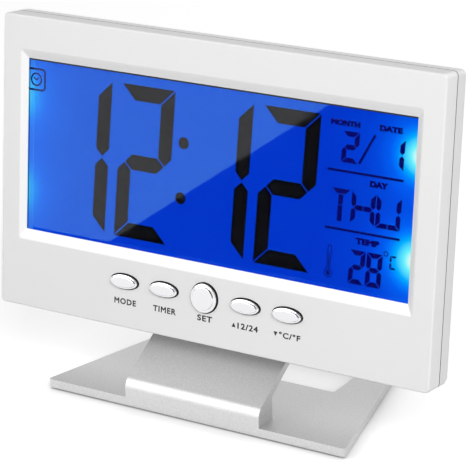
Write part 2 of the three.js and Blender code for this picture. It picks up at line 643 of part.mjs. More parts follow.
function rearCover() {
  const outer = roundedBack(rimFront, 0);
  const inner = roundedBack(rimFront - 1, WALL);
  const lipRing = (inset, y0, y1) => loft([caseRing(y0, inset, 1), caseRing(y1, inset, 1)]);
  const lipFront = BEZEL_DEPTH - CASE_LIP;
  const lipBack = rimFront + CASE_LIP;
  const lip = cut(
    joined(lipRing(WALL + GAP, lipFront, lipBack), lipRing(WALL - GAP, rimFront, lipBack)),
    lipRing(WALL + GAP + THIN_WALL, lipFront - 1, lipBack + 1),
    ...caseScrews.map(({ x, z }) => rodY(CASE_BOSS_DIAMETER / 2 + GAP, lipFront - 1, lipBack + 1, x, z)));
  const shell = joined(cut(outer, inner), lip);

  const chamfer = BULGE_CHAMFER;
  const bulgeRing = (y, inset) => rectangleRing(y, -bulgeHalf + inset, bulgeHalf - inset,
    bulgeBottom + inset, bulgeTop - inset, BULGE_CORNER_RADIUS);
  const bulge = loft([
    bulgeRing(bayFloorFront, 0), bulgeRing(doorOuter - chamfer, 0), bulgeRing(doorOuter, chamfer),
  ]);
  const socketHalf = TONGUE_WIDTH / 2 + GAP + SOCKET_WALL;
  const socketBack = tongueBack + GAP + SOCKET_WALL;
  const socket = middleBox(socketHalf, backOuter - 1, socketBack, CASE_BACK_ROUND, socketTop);
  const tubes = caseScrews.map(({ x, z }) =>
    rodY(CASE_BOSS_DIAMETER / 2, tubeFront, backInner + 1, x, z));
  const solid = joined(shell, bulge, socket, ...tubes);

  const bay = middleBox(bayHalfLength, bayFloor, doorOuter + 1, bayBottom, bayTop);
  const rebate = middleBox(doorHalf + GAP, doorInner - GAP, doorOuter + 1, doorBottom - GAP, doorTop + GAP);
  const hookSlots = hookX.map(x => box(x - hookHalf - GAP, x + hookHalf + GAP,
    hookFront - GAP, doorInner - GAP, hookBottom - GAP, bayBottom + 1));
  const latchNotch = middleBox(latchHalf + GAP, doorInner - GAP, doorOuter + 1, doorTop, latchTop + GAP);
  const tagSlots = [[1, rows[0]], [-1, rows[CELL_COUNT - 1]]].map(([side, z]) => {
    const [near, far] = [bayHalfLength - 1, bulgeHalf + 1];
    return box(Math.min(side * near, side * far), Math.max(side * near, side * far),
      bayFloor, bayFloor + CONTACT_THICKNESS + 2 * GAP, z - tagHalf - GAP, z + tagHalf + GAP);
  });
  const tongueSlot = middleBox(TONGUE_WIDTH / 2 + GAP, backOuter, tongueBack + GAP, 0, TONGUE_TOP + GAP);
  const [wallFront, wallBack] = [backInner - 1, backOuter + 1];
  const selectorSlot =
    knobBox(SELECTOR_STEP + KNOB_SIZE / 2 + GAP, wallFront, wallBack, KNOB_SIZE / 2 + GAP);
  const counterbores = caseScrews.flatMap(({ x, z }) => [
    rodY(SCREW_HEAD_DIAMETER / 2 + GAP, screwSeat, wallBack, x, z),
    rodY(screwHole, rimFront, screwSeat + 1, x, z),
  ]);
  const soundHoles = [-1, 0, 1].flatMap(column => [-1, 0, 1].map(row =>
    rodY(SOUND_HOLE_DIAMETER / 2, wallFront, wallBack,
      buzzerX + column * SOUND_HOLE_SPACING_X, boardMiddle + row * SOUND_HOLE_SPACING_Z, 10)));
  const voiceHole = rodY(VOICE_HOLE_DIAMETER / 2, wallFront, wallBack, microphoneX, boardMiddle, 12);
  const ventBottom = sensorZ - VENT_BELOW_SENSOR;
  const ventTop = ventBottom + VENT_HEIGHT;
  const vents = Array.from({ length: VENT_COUNT }, (_, i) => {
    const x = sensorX + (i - (VENT_COUNT - 1) / 2) * VENT_PITCH;
    return box(x - VENT_WIDTH / 2, x + VENT_WIDTH / 2, wallFront, wallBack, ventBottom, ventTop);
  });
  return cut(solid, bay, rebate, ...hookSlots, latchNotch, ...tagSlots, tongueSlot, selectorSlot,
    ...counterbores, ...soundHoles, voiceHole, ...vents);
}
addPiece(head, 'rear_cover', rearCover(), caseWhite);
for (const { name, x, z } of caseScrews) {
  addPiece(head, name, screw(x, screwSeat + GAP, z, CASE_SCREW_LENGTH), steel);
}

// Cells lie head to tail, bottom row first, with the positive end to the right in the first row
const nubEnd = bayHalfLength - GAP - CONTACT_THICKNESS - CONTACT_DIMPLE - GAP;
rows.forEach((z, i) => {
  const side = i % 2 === 0 ? 1 : -1;
  const ends = [nubEnd - CELL_NUB_HEIGHT, nubEnd - CELL_LENGTH].map(x => side * x).sort((a, b) => a - b);
  const nub = [nubEnd - CELL_NUB_HEIGHT - 1, nubEnd].map(x => side * x).sort((a, b) => a - b);
  addPiece(head, `cell_${i + 1}`, joined(
    rodX(CELL_DIAMETER / 2, ends[0], ends[1], cellY, z, 28),
    rodX(CELL_NUB_DIAMETER / 2, nub[0], nub[1], cellY, z, 16)), cellJacket);
});

// Contact plates at the bay's ends: a dimple meets a positive end, a spring meets a negative one
function contact(places, tagRow) {
  const wallFace = bayHalfLength - GAP;
  const face = wallFace - CONTACT_THICKNESS;
  const plateMiddle = wallFace - CONTACT_THICKNESS / 2;
  const zs = places.map(place => rows[place.row]);
  const plate = box(face, wallFace, cellY - CONTACT_SIZE / 2, cellY + CONTACT_SIZE / 2,
    Math.min(...zs) - CONTACT_SIZE / 2, Math.max(...zs) + CONTACT_SIZE / 2);
  const ends = places.map(place => place.spring
    ? rodX(CONTACT_SPRING_DIAMETER / 2, face - CONTACT_SPRING, plateMiddle, cellY, rows[place.row], 16)
    : rodX(CONTACT_DIMPLE_DIAMETER / 2, face - CONTACT_DIMPLE, plateMiddle, cellY, rows[place.row], 16));
  const pieces = [plate, ...ends];
  if (tagRow !== undefined) {
    const z = rows[tagRow];
    pieces.push(box(face, wallFace, tagY, cellY, z - tagHalf, z + tagHalf));
    pieces.push(box(face, tagEnd, tagY, tagY + CONTACT_THICKNESS, z - tagHalf, z + tagHalf));
  }
  return joined(...pieces);
}

// The left contacts are mirror images of ones on the right
function mirrored(geometry) {
  const copy = geometry.clone().scale(-1, 1, 1);
  const index = copy.index.array;
  for (let i = 0; i < index.length; i += 3) {
    [index[i], index[i + 1]] = [index[i + 1], index[i]];
  }
  return copy;
}
addPiece(head, 'positive_contact', contact([{ row: 0, spring: false }], 0), nickel);
addPiece(head, 'bridge_contact_right',
  contact([{ row: 1, spring: true }, { row: 2, spring: false }]), nickel);
addPiece(head, 'bridge_contact_left',
  mirrored(contact([{ row: 0, spring: true }, { row: 1, spring: false }])), nickel);
addPiece(head, 'negative_contact', mirrored(contact([{ row: 2, spring: true }], 2)), nickel);

// Wires from the contact tags down to the board
const wireY = trayBack + GAP + WIRE_DIAMETER / 2;
const wireX = tagEnd - WIRE_DIAMETER;
function batteryWire(side, startZ) {
  return wire([
    [side * wireX, wireY, startZ], [side * wireX, wireY, startZ - 3],
    [side * wireX, wireY, trayBottom + 2], [side * wireX, wireY - 0.2, boardTop - 2],
    [side * wireX, partsFront + WIRE_DIAMETER / 2, boardTop - WIRE_PAD_INSET],
  ], WIRE_DIAMETER);
}
addPiece(head, 'battery_wire_red', batteryWire(1, rows[0]), redWire);
addPiece(head, 'battery_wire_black', batteryWire(-1, rows[CELL_COUNT - 1]), blackWire);

// Battery door: a panel with two hooks at its lower edge and a latch lip at its upper edge
addPiece(head, 'battery_door', joined(
  middleBox(doorHalf, doorInner, doorOuter, doorBottom, doorTop),
  middleBox(latchHalf, doorInner, doorOuter - LATCH_RECESS, doorTop - 1, latchTop),
  ...hookX.flatMap(x => [
    box(x - hookHalf, x + hookHalf, hookFront, hookBack, hookBottom, hookTop),
    box(x - hookHalf, x + hookHalf, hookBack - 0.5, doorInner + 0.5, hookWeb, hookTop),
  ])), caseWhite);

// Stand: plate, neck and tongue are one moulding
const toStand = ([y, z]) => [
  faceY + y * Math.cos(tilt) + z * Math.sin(tilt),
  faceZ + z * Math.cos(tilt) - y * Math.sin(tilt),
];

// Where a line from p with direction d meets a line from q with direction e
function meet(p, d, q, e) {
  const cross = d[0] * e[1] - d[1] * e[0];
  const t = ((q[0] - p[0]) * e[1] - (q[1] - p[1]) * e[0]) / cross;
  return [p[0] + t * d[0], p[1] + t * d[1]];
}

const foldCorner = [standFront, plateTop + NECK_FOLD_HEIGHT];
const shoulder = toStand([tongueFront, CASE_BACK_ROUND - NECK_BELOW_SOCKET]);
const neckSlope = Math.atan2(shoulder[1] - foldCorner[1], shoulder[0] - foldCorner[0]);
const slopeWay = [Math.cos(neckSlope), Math.sin(neckSlope)];
const tongueWay = [Math.sin(tilt), Math.cos(tilt)];
const underside = [
  foldCorner[0] + NECK_THICKNESS * slopeWay[1],
  foldCorner[1] - NECK_THICKNESS * slopeWay[0],
];
const heel = meet(underside, slopeWay, toStand([tongueBack, 0]), tongueWay);
const rootBack = standFront + NECK_ROOT_DEPTH;
const rootTop = meet(underside, slopeWay, [rootBack, 0], [0, 1]);

function shapeOf(points) {
  return new THREE.Shape(points.map(([u, v]) => new THREE.Vector2(u, v)));
}

function neck() {
  const reach = NECK_FOLD_RADIUS * Math.tan((Math.PI / 2 - neckSlope) / 2);
  const profile = new THREE.Shape();
  profile.moveTo(standFront, plateBottom);
  profile.lineTo(rootBack, plateBottom);
  profile.lineTo(...rootTop);
  profile.lineTo(...heel);
  profile.lineTo(shoulder[0] + TONGUE_THICKNESS, shoulder[1]);
  profile.lineTo(...shoulder);
  profile.lineTo(foldCorner[0] + reach * slopeWay[0], foldCorner[1] + reach * slopeWay[1]);
  profile.absarc(standFront + NECK_FOLD_RADIUS, foldCorner[1] - reach, NECK_FOLD_RADIUS,
    Math.PI / 2 + neckSlope, Math.PI, false);
  profile.lineTo(standFront, plateBottom);
  const rib = shapeOf([
    rootTop, [rootTop[0], rootTop[1] - NECK_RIB_HEIGHT],
    [heel[0] - 2, heel[1] - NECK_RIB_HEIGHT - 2 * Math.tan(neckSlope)], [heel[0] - 1, heel[1]],
    [rootTop[0] - 1, rootTop[1] + 0.2],
  ]);
  const ribX = NECK_WIDTH / 2 - NECK_RIB_INSET;
  return joined(
    alongX(profile, -NECK_WIDTH / 2, NECK_WIDTH / 2),
    ...[-ribX, ribX - NECK_RIB_WIDTH].map(x => alongX(rib, x, x + NECK_RIB_WIDTH)),
  );
}

function tongue() {
  const foot = [0, shoulder[1] - 2 * GAP];
  const front = meet(foot, [1, 0], toStand([tongueFront, 0]), tongueWay);
  const back = meet(foot, [1, 0], toStand([tongueBack, 0]), tongueWay);
  const points = [front, back, toStand([tongueBack, TONGUE_TOP]), toStand([tongueFront, TONGUE_TOP])];
  return alongX(shapeOf(points), -TONGUE_WIDTH / 2, TONGUE_WIDTH / 2);
}

const standTaper = (STAND_FRONT_WIDTH - STAND_BACK_WIDTH) / 2 / STAND_DEPTH;
const standHalfAt = y => STAND_FRONT_WIDTH / 2 - standTaper * (y - standFront);

function plate() {
  const r = STAND_CORNER_RADIUS;
  const outline = new THREE.Shape();
  const [front, back] = [STAND_FRONT_WIDTH / 2, STAND_BACK_WIDTH / 2];
  outline.moveTo(-front + r, standFront);
  outline.lineTo(front - r, standFront);
  outline.quadraticCurveTo(front, standFront, front - r * standTaper, standFront + r);
  outline.lineTo(back + r * standTaper, standBack - r);
  outline.quadraticCurveTo(back, standBack, back - r, standBack);
  outline.lineTo(-back + r, standBack);
  outline.quadraticCurveTo(-back, standBack, -back - r * standTaper, standBack - r);
  outline.lineTo(-front + r * standTaper, standFront + r);
  outline.quadraticCurveTo(-front, standFront, -front + r, standFront);
  const upright = (shape, z0, z1) => new THREE.ExtrudeGeometry(shape,
    { depth: z1 - z0, bevelEnabled: false, curveSegments: 4 }).translate(0, 0, z0);
  const slab = upright(outline, plateBottom, plateTop);
  const slopeStart = standFront + CUTOUT_FRONT;
  const openFront = slopeStart + CUTOUT_SLOPE_DEPTH;
  const openBack = standBack - STAND_REAR_BAR;
  const half = CUTOUT_WIDTH / 2;
  const corner = CUTOUT_CORNER_RADIUS;
  const opening = new THREE.Shape();
  opening.absarc(half - corner, openFront + corner, corner, -Math.PI / 2, 0, false);
  opening.absarc(half - corner, openBack - corner, corner, 0, Math.PI / 2, false);
  opening.absarc(-half + corner, openBack - corner, corner, Math.PI / 2, Math.PI, false);
  opening.absarc(-half + corner, openFront + corner, corner, Math.PI, 1.5 * Math.PI, false);
  const hole = upright(opening, plateBottom - 1, plateTop + 1);
  const drop = CUTOUT_SLOPE_DROP;
  const dip = alongX(shapeOf([
    [slopeStart, plateTop], [openFront + corner, plateTop - drop * (1 + corner / CUTOUT_SLOPE_DEPTH)],
    [openFront + corner, plateTop + 1], [slopeStart, plateTop + 1],
  ]), -half, half);
  const seats = feet.map(({ x, y }) => new THREE.CylinderGeometry(
    FOOT_DIAMETER / 2 + GAP, FOOT_DIAMETER / 2 + GAP, 2 * FOOT_SEAT, 24)
    .rotateX(Math.PI / 2).translate(x, y, plateBottom));
  return cut(slab, hole, dip, ...seats);
}

const footAt = (y, side) => ({ x: side * (standHalfAt(y) - FOOT_INSET), y });
const feet = [
  { name: 'foot_front_left', ...footAt(standFront + FOOT_INSET, -1) },
  { name: 'foot_front_right', ...footAt(standFront + FOOT_INSET, 1) },
  { name: 'foot_back_left', ...footAt(standBack - STAND_REAR_BAR / 2, -1) },
  { name: 'foot_back_right', ...footAt(standBack - STAND_REAR_BAR / 2, 1) },
];
addPiece(clock, 'stand', joined(plate(), neck(), tongue()), standSilver);
for (const { name, x, y } of feet) {
  const height = FOOT_PROUD + FOOT_SEAT;
  addPiece(clock, name, new THREE.CylinderGeometry(FOOT_DIAMETER / 2, FOOT_DIAMETER / 2, height, 24)
    .rotateX(Math.PI / 2).translate(x, y, height / 2), rubber);
}

export default clock;
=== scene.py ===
"""Digital alarm clock with a backlit display on a one-piece stand.

The construction model gives every place. This script adds the fine surfaces, the finishes, the display's
figures, the printed words and the studio. Lengths are in metres. Points on the tilted case are given as
across (to the right), depth (back from the face) and height (up from the face's lower edge).
"""
import json
import math

import bmesh
import bpy
import numpy as np
from bpy.props import FloatProperty, FloatVectorProperty, PointerProperty
from mathutils import Matrix, Vector


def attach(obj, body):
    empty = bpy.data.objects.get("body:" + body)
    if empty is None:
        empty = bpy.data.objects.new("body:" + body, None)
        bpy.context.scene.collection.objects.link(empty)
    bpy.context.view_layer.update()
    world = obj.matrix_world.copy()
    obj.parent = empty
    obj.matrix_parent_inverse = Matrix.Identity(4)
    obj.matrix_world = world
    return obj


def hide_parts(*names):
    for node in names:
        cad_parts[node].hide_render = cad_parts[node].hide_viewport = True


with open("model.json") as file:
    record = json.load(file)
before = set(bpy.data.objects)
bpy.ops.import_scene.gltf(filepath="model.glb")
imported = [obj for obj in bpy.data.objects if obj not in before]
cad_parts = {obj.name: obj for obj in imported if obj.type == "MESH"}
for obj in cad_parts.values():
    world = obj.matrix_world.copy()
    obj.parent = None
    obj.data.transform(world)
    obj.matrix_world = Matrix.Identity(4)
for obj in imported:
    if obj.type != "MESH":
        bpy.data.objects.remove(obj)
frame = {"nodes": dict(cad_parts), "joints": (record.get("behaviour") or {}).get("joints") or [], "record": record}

bl_info = {
    "name": "Digital Alarm Clock",
    "version": (1, 0, 0),
    "blender": (4, 5, 0),
    "location": "View3D > Sidebar > Clock",
    "description": "Fine surfaces, finishes, display and studio for a digital alarm clock",
    "category": "Object",
}

MM = 0.001
GAP = 0.3 * MM
# Radius of the flat face that closes the end of a round surface
CLOSED_END = 0.05 * MM
# Two neighbouring faces within this many degrees of one plane are joined
FLAT_ANGLE = 0.5


# The case's own axes

def mesh_points(mesh):
    """Corners of a mesh, as an array with a row for each."""
    points = np.empty(len(mesh.vertices) * 3)
    mesh.vertices.foreach_get("co", points)
    return points.reshape(-1, 3)


def node_points(node):
    """Corners of a construction node, as an array with a row for each."""
    return mesh_points(frame["nodes"][node].data)


def case_axes():
    """Across, depth and height directions as rows, and the corner they start from.

    Height is the way in which the case lifts off its stand. Depth is at right angles to it. The start is
    the lowest and frontmost place of the bezel along them.
    """
    lift = next(joint for joint in frame["joints"] if joint["name"] == "head_lift")
    height = np.array(lift["axis"], float) / np.linalg.norm(lift["axis"])
    depth = np.array([0.0, height[2], -height[1]])
    bezel = node_points("front_bezel")
    start = depth * (bezel @ depth).min() + height * (bezel @ height).min()
    return np.array([[1.0, 0.0, 0.0], depth, height]), start


AXES, START = case_axes()


def on_case(points):
    """Places given as across, depth and height, turned into the part's frame."""
    return START + np.asarray(points, float) @ AXES


def to_case(points):
    """Places in the part's frame, turned into across, depth and height."""
    return (points - START) @ AXES.T


def span(node):
    """Lowest and highest across, depth and height of a construction node."""
    local = to_case(node_points(node))
    return local.min(0), local.max(0)


def middle(node):
    """Middle of a construction node's span."""
    low, high = span(node)
    return (low + high) / 2


def extent(node):
    """Width, depth and height of a construction node."""
    low, high = span(node)
    return high - low


# Sizes and colours that a user would change

def length(name, description, default):
    return FloatProperty(name=name, description=description, default=default, min=0.0, unit="LENGTH",
                         precision=5)


def colour(name, description, default):
    return FloatVectorProperty(name=name, description=description, default=default, size=3, min=0.0,
                               max=1.0, subtype="COLOR")


class ClockSizes(bpy.types.PropertyGroup):
    """Lengths of the surfaces that this script makes."""

    edge_round: length("Edge round", "Width of the bezel's rounded front edge on the face", 0.0005)
    edge_depth: length("Edge depth", "Depth of the bezel's rounded front edge on the walls", 0.00093)
    rim_chamfer: length("Rim chamfer", "Chamfer of the bezel's rear edge, at the seam", 0.00015)
    seam: length("Seam", "Gap that shows between the bezel and the rear cover", 0.00025)
    soften: length("Softened edges", "Rounding of the edges of the rear cover and the stand", 0.0003)
    bevel_blend: length("Bevel blend", "Rounding where the face turns down to the display", 0.0003)
    hole_round: length("Hole round", "Rounding of the edges of the button holes", 0.00015)
    button_round: length("Button round", "Rounding of a button's shoulder", 0.00025)
    ink: length("Ink", "Thickness of printed words and display figures", 0.00003)
    digit_bar: length("Digit bar", "Thickness of the bars of the large figures", 0.0049)
    digit_gap: length("Digit gap", "Gap between two bars of a large figure", 0.00035)


class ClockColours(bpy.types.PropertyGroup):
    """Colours of the finishes."""

    case: colour("Case", "Moulded case", (0.795, 0.795, 0.79))
    stand: colour("Stand", "Satin paint of the stand", (0.64, 0.64, 0.64))
    chrome: colour("Buttons", "Plating of the buttons", (0.80, 0.80, 0.81))
    display: colour("Display", "Lit field of the display", (0.0, 0.028, 0.56))
    legend: colour("Legends", "Small words and figures of the display", (0.001, 0.001, 0.085))
    print: colour("Print", "Words under the buttons", (0.004, 0.004, 0.004))


# Surfaces

def rectangle_rings(rows, steps=6):
    """Rectangles with round corners, one for each row of depth, half width, bottom, top and radius.

    A corner is its centre plus the radius times cosine and sine of a quarter turn.
    """
    depth, half, bottom, top, radius = (column[:, None] for column in np.array(rows, float).T)
    quarter = np.linspace(0.0, np.pi / 2, steps + 1)
    angle = (np.array([-1, 0, 1, 2])[:, None] * np.pi / 2 + quarter).ravel()
    right = np.repeat([1, 1, -1, -1], steps + 1)
    upper = np.repeat([-1, 1, 1, -1], steps + 1)
    across = right * (half - radius) + radius * np.cos(angle)
    height = (top + bottom) / 2 + upper * ((top - bottom) / 2 - radius) + radius * np.sin(angle)
    return np.stack([across, depth + 0 * across, height], axis=-1)


def full_turn(steps):
    """Angles at equal steps round a circle, without the last one, which would repeat the first."""
    return np.linspace(0.0, 2 * np.pi, steps, endpoint=False)


def oval_rings(rows, centre, steps=64):
    """Ovals round a centre, one for each row of half width, half height and depth."""
    wide, tall, depth = (column[:, None] for column in np.array(rows, float).T)
    angle = full_turn(steps)
    across = centre[0] + wide * np.cos(angle)
    height = centre[1] + tall * np.sin(angle)
    return np.stack([across, depth + 0 * across, height], axis=-1)


def round_rings(rows, centre, steps):
    """Circles round a centre, one for each row of radius and depth."""
    return oval_rings([(radius, radius, depth) for radius, depth in rows], centre, steps)


def skin(rings, loop=False):
    """Points and faces of the closed surface over rings of equally many points.

    The last ring joins the first one when the section is a loop. Otherwise a flat face closes each end.
    """
    rows, count = rings.shape[:2]
    index = np.arange(rows * count).reshape(rows, count)
    ahead = np.roll(index, -1, axis=0) if loop else index[1:]
    here = index if loop else index[:-1]
    quads = np.stack([here, np.roll(here, -1, 1), np.roll(ahead, -1, 1), ahead], axis=-1).reshape(-1, 4)
    faces = quads.tolist()
    if not loop:
        faces += [index[0].tolist(), index[-1].tolist()]
    return rings.reshape(-1, 3), faces


def together(*surfaces):
    """Several surfaces as one list of points and one list of faces."""
    points, faces, count = [], [], 0
    for corners, sides in surfaces:
        points.append(corners)
        faces += [[corner + count for corner in side] for side in sides]
        count += len(corners)
    return np.concatenate(points), faces


def prism(outline, front, back):
    """A flat outline of across and height carried straight from one depth to another."""
    outline = np.asarray(outline, float)
    ring = np.insert(outline, 1, 0.0, axis=1)
    return skin(np.stack([ring + [0, front, 0], ring + [0, back, 0]]))


def rectangle(left, right, bottom, top):
    """Outline of a rectangle."""
    return [(left, bottom), (right, bottom), (right, top), (left, top)]


def arc(start, end, steps):
    """Pairs of sine and cosine at equal steps between two angles in degrees."""
    angle = np.radians(np.linspace(start, end, steps + 1))
    return list(zip(np.sin(angle), np.cos(angle)))


# Objects

def new_object(name, data):
    """An object in the scene that shows a mesh or a curve, or is a lamp or a camera."""
    made = bpy.data.objects.new(name, data)
    bpy.context.scene.collection.objects.link(made)
    return made


def merged(mesh):
    """An editable copy of a mesh, in which corners that coincide are one."""
    work = bmesh.new()
    work.from_mesh(mesh)
    bmesh.ops.remove_doubles(work, verts=work.verts, dist=MM / 1000)
    return work


def written(work, mesh):
    """The mesh, with what it held replaced by an editable copy."""
    work.to_mesh(mesh)
    work.free()
    return mesh


def turn_outwards(mesh):
    """Merges corners that coincide and turns every face outwards."""
    work = merged(mesh)
    bmesh.ops.recalc_face_normals(work, faces=work.faces)
    return written(work, mesh)


def new_mesh(name, points, faces):
    """A mesh of points and faces, which are turned outwards."""
    mesh = bpy.data.meshes.new(name)
    mesh.from_pydata(points.tolist(), [], faces)
    return turn_outwards(mesh)


def case_mesh(name, *surfaces):
    """A mesh of surfaces whose points are across, depth and height."""
    points, faces = together(*surfaces)
    return new_mesh(name, on_case(points), faces)


def shade(mesh, sharp):
    """Smooth shading that breaks where two faces meet at more than the sharp angle."""
    mesh.polygons.foreach_set("use_smooth", np.ones(len(mesh.polygons), bool))
    mesh.set_sharp_from_angle(angle=math.radians(sharp))


def add_piece(name, mesh, finish, body, replaces=(), sharp=32.0, soften=0.0):
    """Puts a finished mesh into the scene as a piece that moves with a body.

    With a width to soften, each edge that bends by more than the sharp angle is rounded over that width.
    """
    shade(mesh, 180.0 if soften else sharp)
    mesh.materials.clear()
    mesh.materials.append(finish)
    piece = new_object(name, mesh)
    if soften:
        rounding = piece.modifiers.new("Softened edges", "BEVEL")
        rounding.width, rounding.segments, rounding.limit_method = soften, 2, "ANGLE"
        rounding.angle_limit, rounding.miter_outer = math.radians(sharp), "MITER_ARC"
    steady = piece.modifiers.new("Even flats", "WEIGHTED_NORMAL")
    steady.keep_sharp = True
    if replaces:
        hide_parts(*replaces)
    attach(piece, body)
    return piece


def more_finish(piece, finish, chosen):
    """Gives one more finish to the faces whose middles on the case satisfy a test."""
    mesh = piece.data
    count = len(mesh.polygons)
    middles, slots = np.empty(count * 3), np.empty(count, np.int32)
    mesh.polygons.foreach_get("center", middles)
    mesh.polygons.foreach_get("material_index", slots)
    found = chosen(to_case(middles.reshape(-1, 3)))
    mesh.polygons.foreach_set("material_index", np.where(found, len(mesh.materials), slots))
    mesh.materials.append(finish)


def move_points(mesh, move):
    """Puts every corner of a mesh where a function of all of them says."""
    mesh.vertices.foreach_set("co", np.ascontiguousarray(move(mesh_points(mesh))).ravel())
    mesh.update()
    return mesh


def evaluated(thing):
    """A new mesh with the shape that an object has after its modifiers. The object is removed."""
    bpy.context.view_layer.update()
    mesh = bpy.data.meshes.new_from_object(thing.evaluated_get(bpy.context.evaluated_depsgraph_get()))
    bpy.data.objects.remove(thing)
    return mesh


def joined_or_cut(mesh, tool, operation):
    """The mesh with the tool's volume added to it or taken from it."""
    body, other = new_object("body", mesh), new_object("tool", tool)
    step = body.modifiers.new("Step", "BOOLEAN")
    step.object, step.operation, step.solver = other, operation, "EXACT"
    result = evaluated(body)
    bpy.data.objects.remove(other)
    return result


def merged_copy(node):
    """A construction node's mesh with its corners merged and its flat faces joined."""
    work = merged(frame["nodes"][node].data)
    bmesh.ops.dissolve_limit(work, angle_limit=math.radians(FLAT_ANGLE), verts=work.verts, edges=work.edges)
    return written(work, bpy.data.meshes.new(node))


def combined(name, *meshes):
    """One mesh with the faces of several."""
    work = bmesh.new()
    for mesh in meshes:
        work.from_mesh(mesh)
    return written(work, bpy.data.meshes.new(name))


def body_of(node):
    """Name of the body that a construction node moves with."""
    bodies = frame["record"]["behaviour"]["bodies"]
    return next(body for body, nodes in bodies.items() if node in nodes)


def stand_in(node, mesh, slot, finish=None, sharp=40.0, soften=0.0):
    """Puts a mesh in the place of a construction node. Without a finish it gets the one of its slot."""
    finish = finish or inner_finish(slot)
    return add_piece(node + "_surface", mesh, finish, body_of(node), (node,), sharp, soften)


def smooth_node(node, slot, finish=None, sharp=40.0, soften=0.0, move=None):
    """Stands in for a construction node with its own shape, smoothly shaded and with softened edges."""
    mesh = merged_copy(node)
    if move:
        move_points(mesh, move)
    return stand_in(node, mesh, slot, finish, sharp, soften)


# Finishes

# Most of a noise's values lie between these two
NOISE_LOW = 0.3
NOISE_HIGH = 0.7
GRAIN_DETAIL = 3.0


def feed(tree, socket, value):
    """Links an output to a socket, or sets the socket to a plain value."""
    if isinstance(value, bpy.types.NodeSocket):
        tree.links.new(value, socket)
    else:
        socket.default_value = value


def add_node(tree, kind, inputs=None, **settings):
    """A shader node whose inputs are set to plain values or linked to other nodes' outputs."""
    node = tree.nodes.new("ShaderNode" + kind)
    for name, value in settings.items():
        setattr(node, name, value)
    for socket, value in (inputs or {}).items():
        feed(tree, node.inputs[socket], value)
    return node


def plain_surface(name, **sockets):
    """A new material, its node tree and its shader, on which the given values are set."""
    material = bpy.data.materials.new(name)
    material.use_nodes = True
    tree = material.node_tree
    shader = tree.nodes["Principled BSDF"]
    for socket, value in sockets.items():
        shader.inputs[socket.replace("_", " ")].default_value = value
    return material, tree, shader


def surface(name, **sockets):
    """The same as a plain surface, and the object coordinates that its patterns use."""
    material, tree, shader = plain_surface(name, **sockets)
    return material, tree, shader, add_node(tree, "TexCoord").outputs["Object"]


def noise(tree, place, size, detail=2.0):
    """Noise whose lumps have the given size."""
    node = add_node(tree, "TexNoise", {"Vector": place, "Scale": 1.0 / size, "Detail": detail})
    return node.outputs["Fac"]


def spread(tree, value, low, high):
    """Maps the middle of a noise onto a range."""
    node = add_node(tree, "MapRange", {"Value": value, "From Min": NOISE_LOW, "From Max": NOISE_HIGH,
                                       "To Min": low, "To Max": high})
    return node.outputs["Result"]


def two_tone(tree, value, first, second, start=NOISE_LOW, end=NOISE_HIGH):
    """Blends from one colour to another as the value goes from start to end."""
    ramp = add_node(tree, "ValToRGB", {"Fac": value})
    for stop, position, tone in zip(ramp.color_ramp.elements, (start, end), (first, second)):
        stop.position, stop.color = position, (*tone, 1.0)
    return ramp.outputs["Color"]


def relief(tree, shader, value, height):
    """Bump of the given height."""
    bump = add_node(tree, "Bump", {"Height": value, "Distance": height, "Strength": 1.0})
    feed(tree, shader.inputs["Normal"], bump.outputs["Normal"])


def grained(name, tint, roughness, metallic=0.0, grain=0.4 * MM, height=0.004 * MM, mottle=0.02,
            cloud=18 * MM, polish=0.04, **sockets):
    """A moulded, painted or plated surface.

    Broad clouds vary the colour a little, and a fine grain varies the roughness and lifts the surface.
    """
    material, tree, shader, place = surface(name, Roughness=roughness, Metallic=metallic, **sockets)
    darker = tuple(channel * (1 - mottle) for channel in tint)
    lighter = tuple(min(1.0, channel * (1 + mottle)) for channel in tint)
    feed(tree, shader.inputs["Base Color"], two_tone(tree, noise(tree, place, cloud), darker, lighter))
    fine = noise(tree, place, grain, GRAIN_DETAIL)
    feed(tree, shader.inputs["Roughness"], spread(tree, fine, roughness - polish, roughness + polish))
    relief(tree, shader, fine, height)
    return material


def window_finish():
    """Clear plastic, with a trace of waviness from moulding."""
    material, tree, shader, place = surface("window_clear", Roughness=0.0, Transmission_Weight=1.0, IOR=1.08)
    tone = two_tone(tree, noise(tree, place, 30 * MM), (0.98, 0.985, 1.0), (1.0, 1.0, 1.0))
    feed(tree, shader.inputs["Base Color"], tone)
    relief(tree, shader, noise(tree, place, 25 * MM), 0.0003 * MM)
    return material


# Share of the field's colour in its darker clouds
FIELD_SHADE = 0.97
LAMP_SPACING = 29 * MM
GLOW_REACH = 30.0 * MM
# Light that a lamp adds to the field at each distance in millimetres: white first, then cyan, then blue
GLOW_STOPS = (
    (0.0, (0.90, 1.00, 0.45)),
    (2.0, (0.62, 0.93, 0.36)),
    (3.4, (0.14, 0.86, 0.38)),
    (6.1, (0.0, 0.40, 0.42)),
    (8.1, (0.0, 0.16, 0.36)),
    (10.1, (0.0, 0.07, 0.26)),
    (14.1, (0.0, 0.025, 0.12)),
    (19.0, (0.0, 0.01, 0.04)),
    (30.0, (0.0, 0.0, 0.0)),
)
# Each lamp: its strip, above or below the middle, how far beyond the window's edge, size and strength
LAMPS_BEHIND = (
    ("led_strip_right", 1, 0.9 * MM, 0.95, 1.0),
    ("led_strip_right", -1, 0.8 * MM, 1.0, 1.0),
    ("led_strip_left", 1, 6.6 * MM, 1.25, 0.62),
    ("led_strip_left", -1, 6.6 * MM, 1.2, 0.5),
)


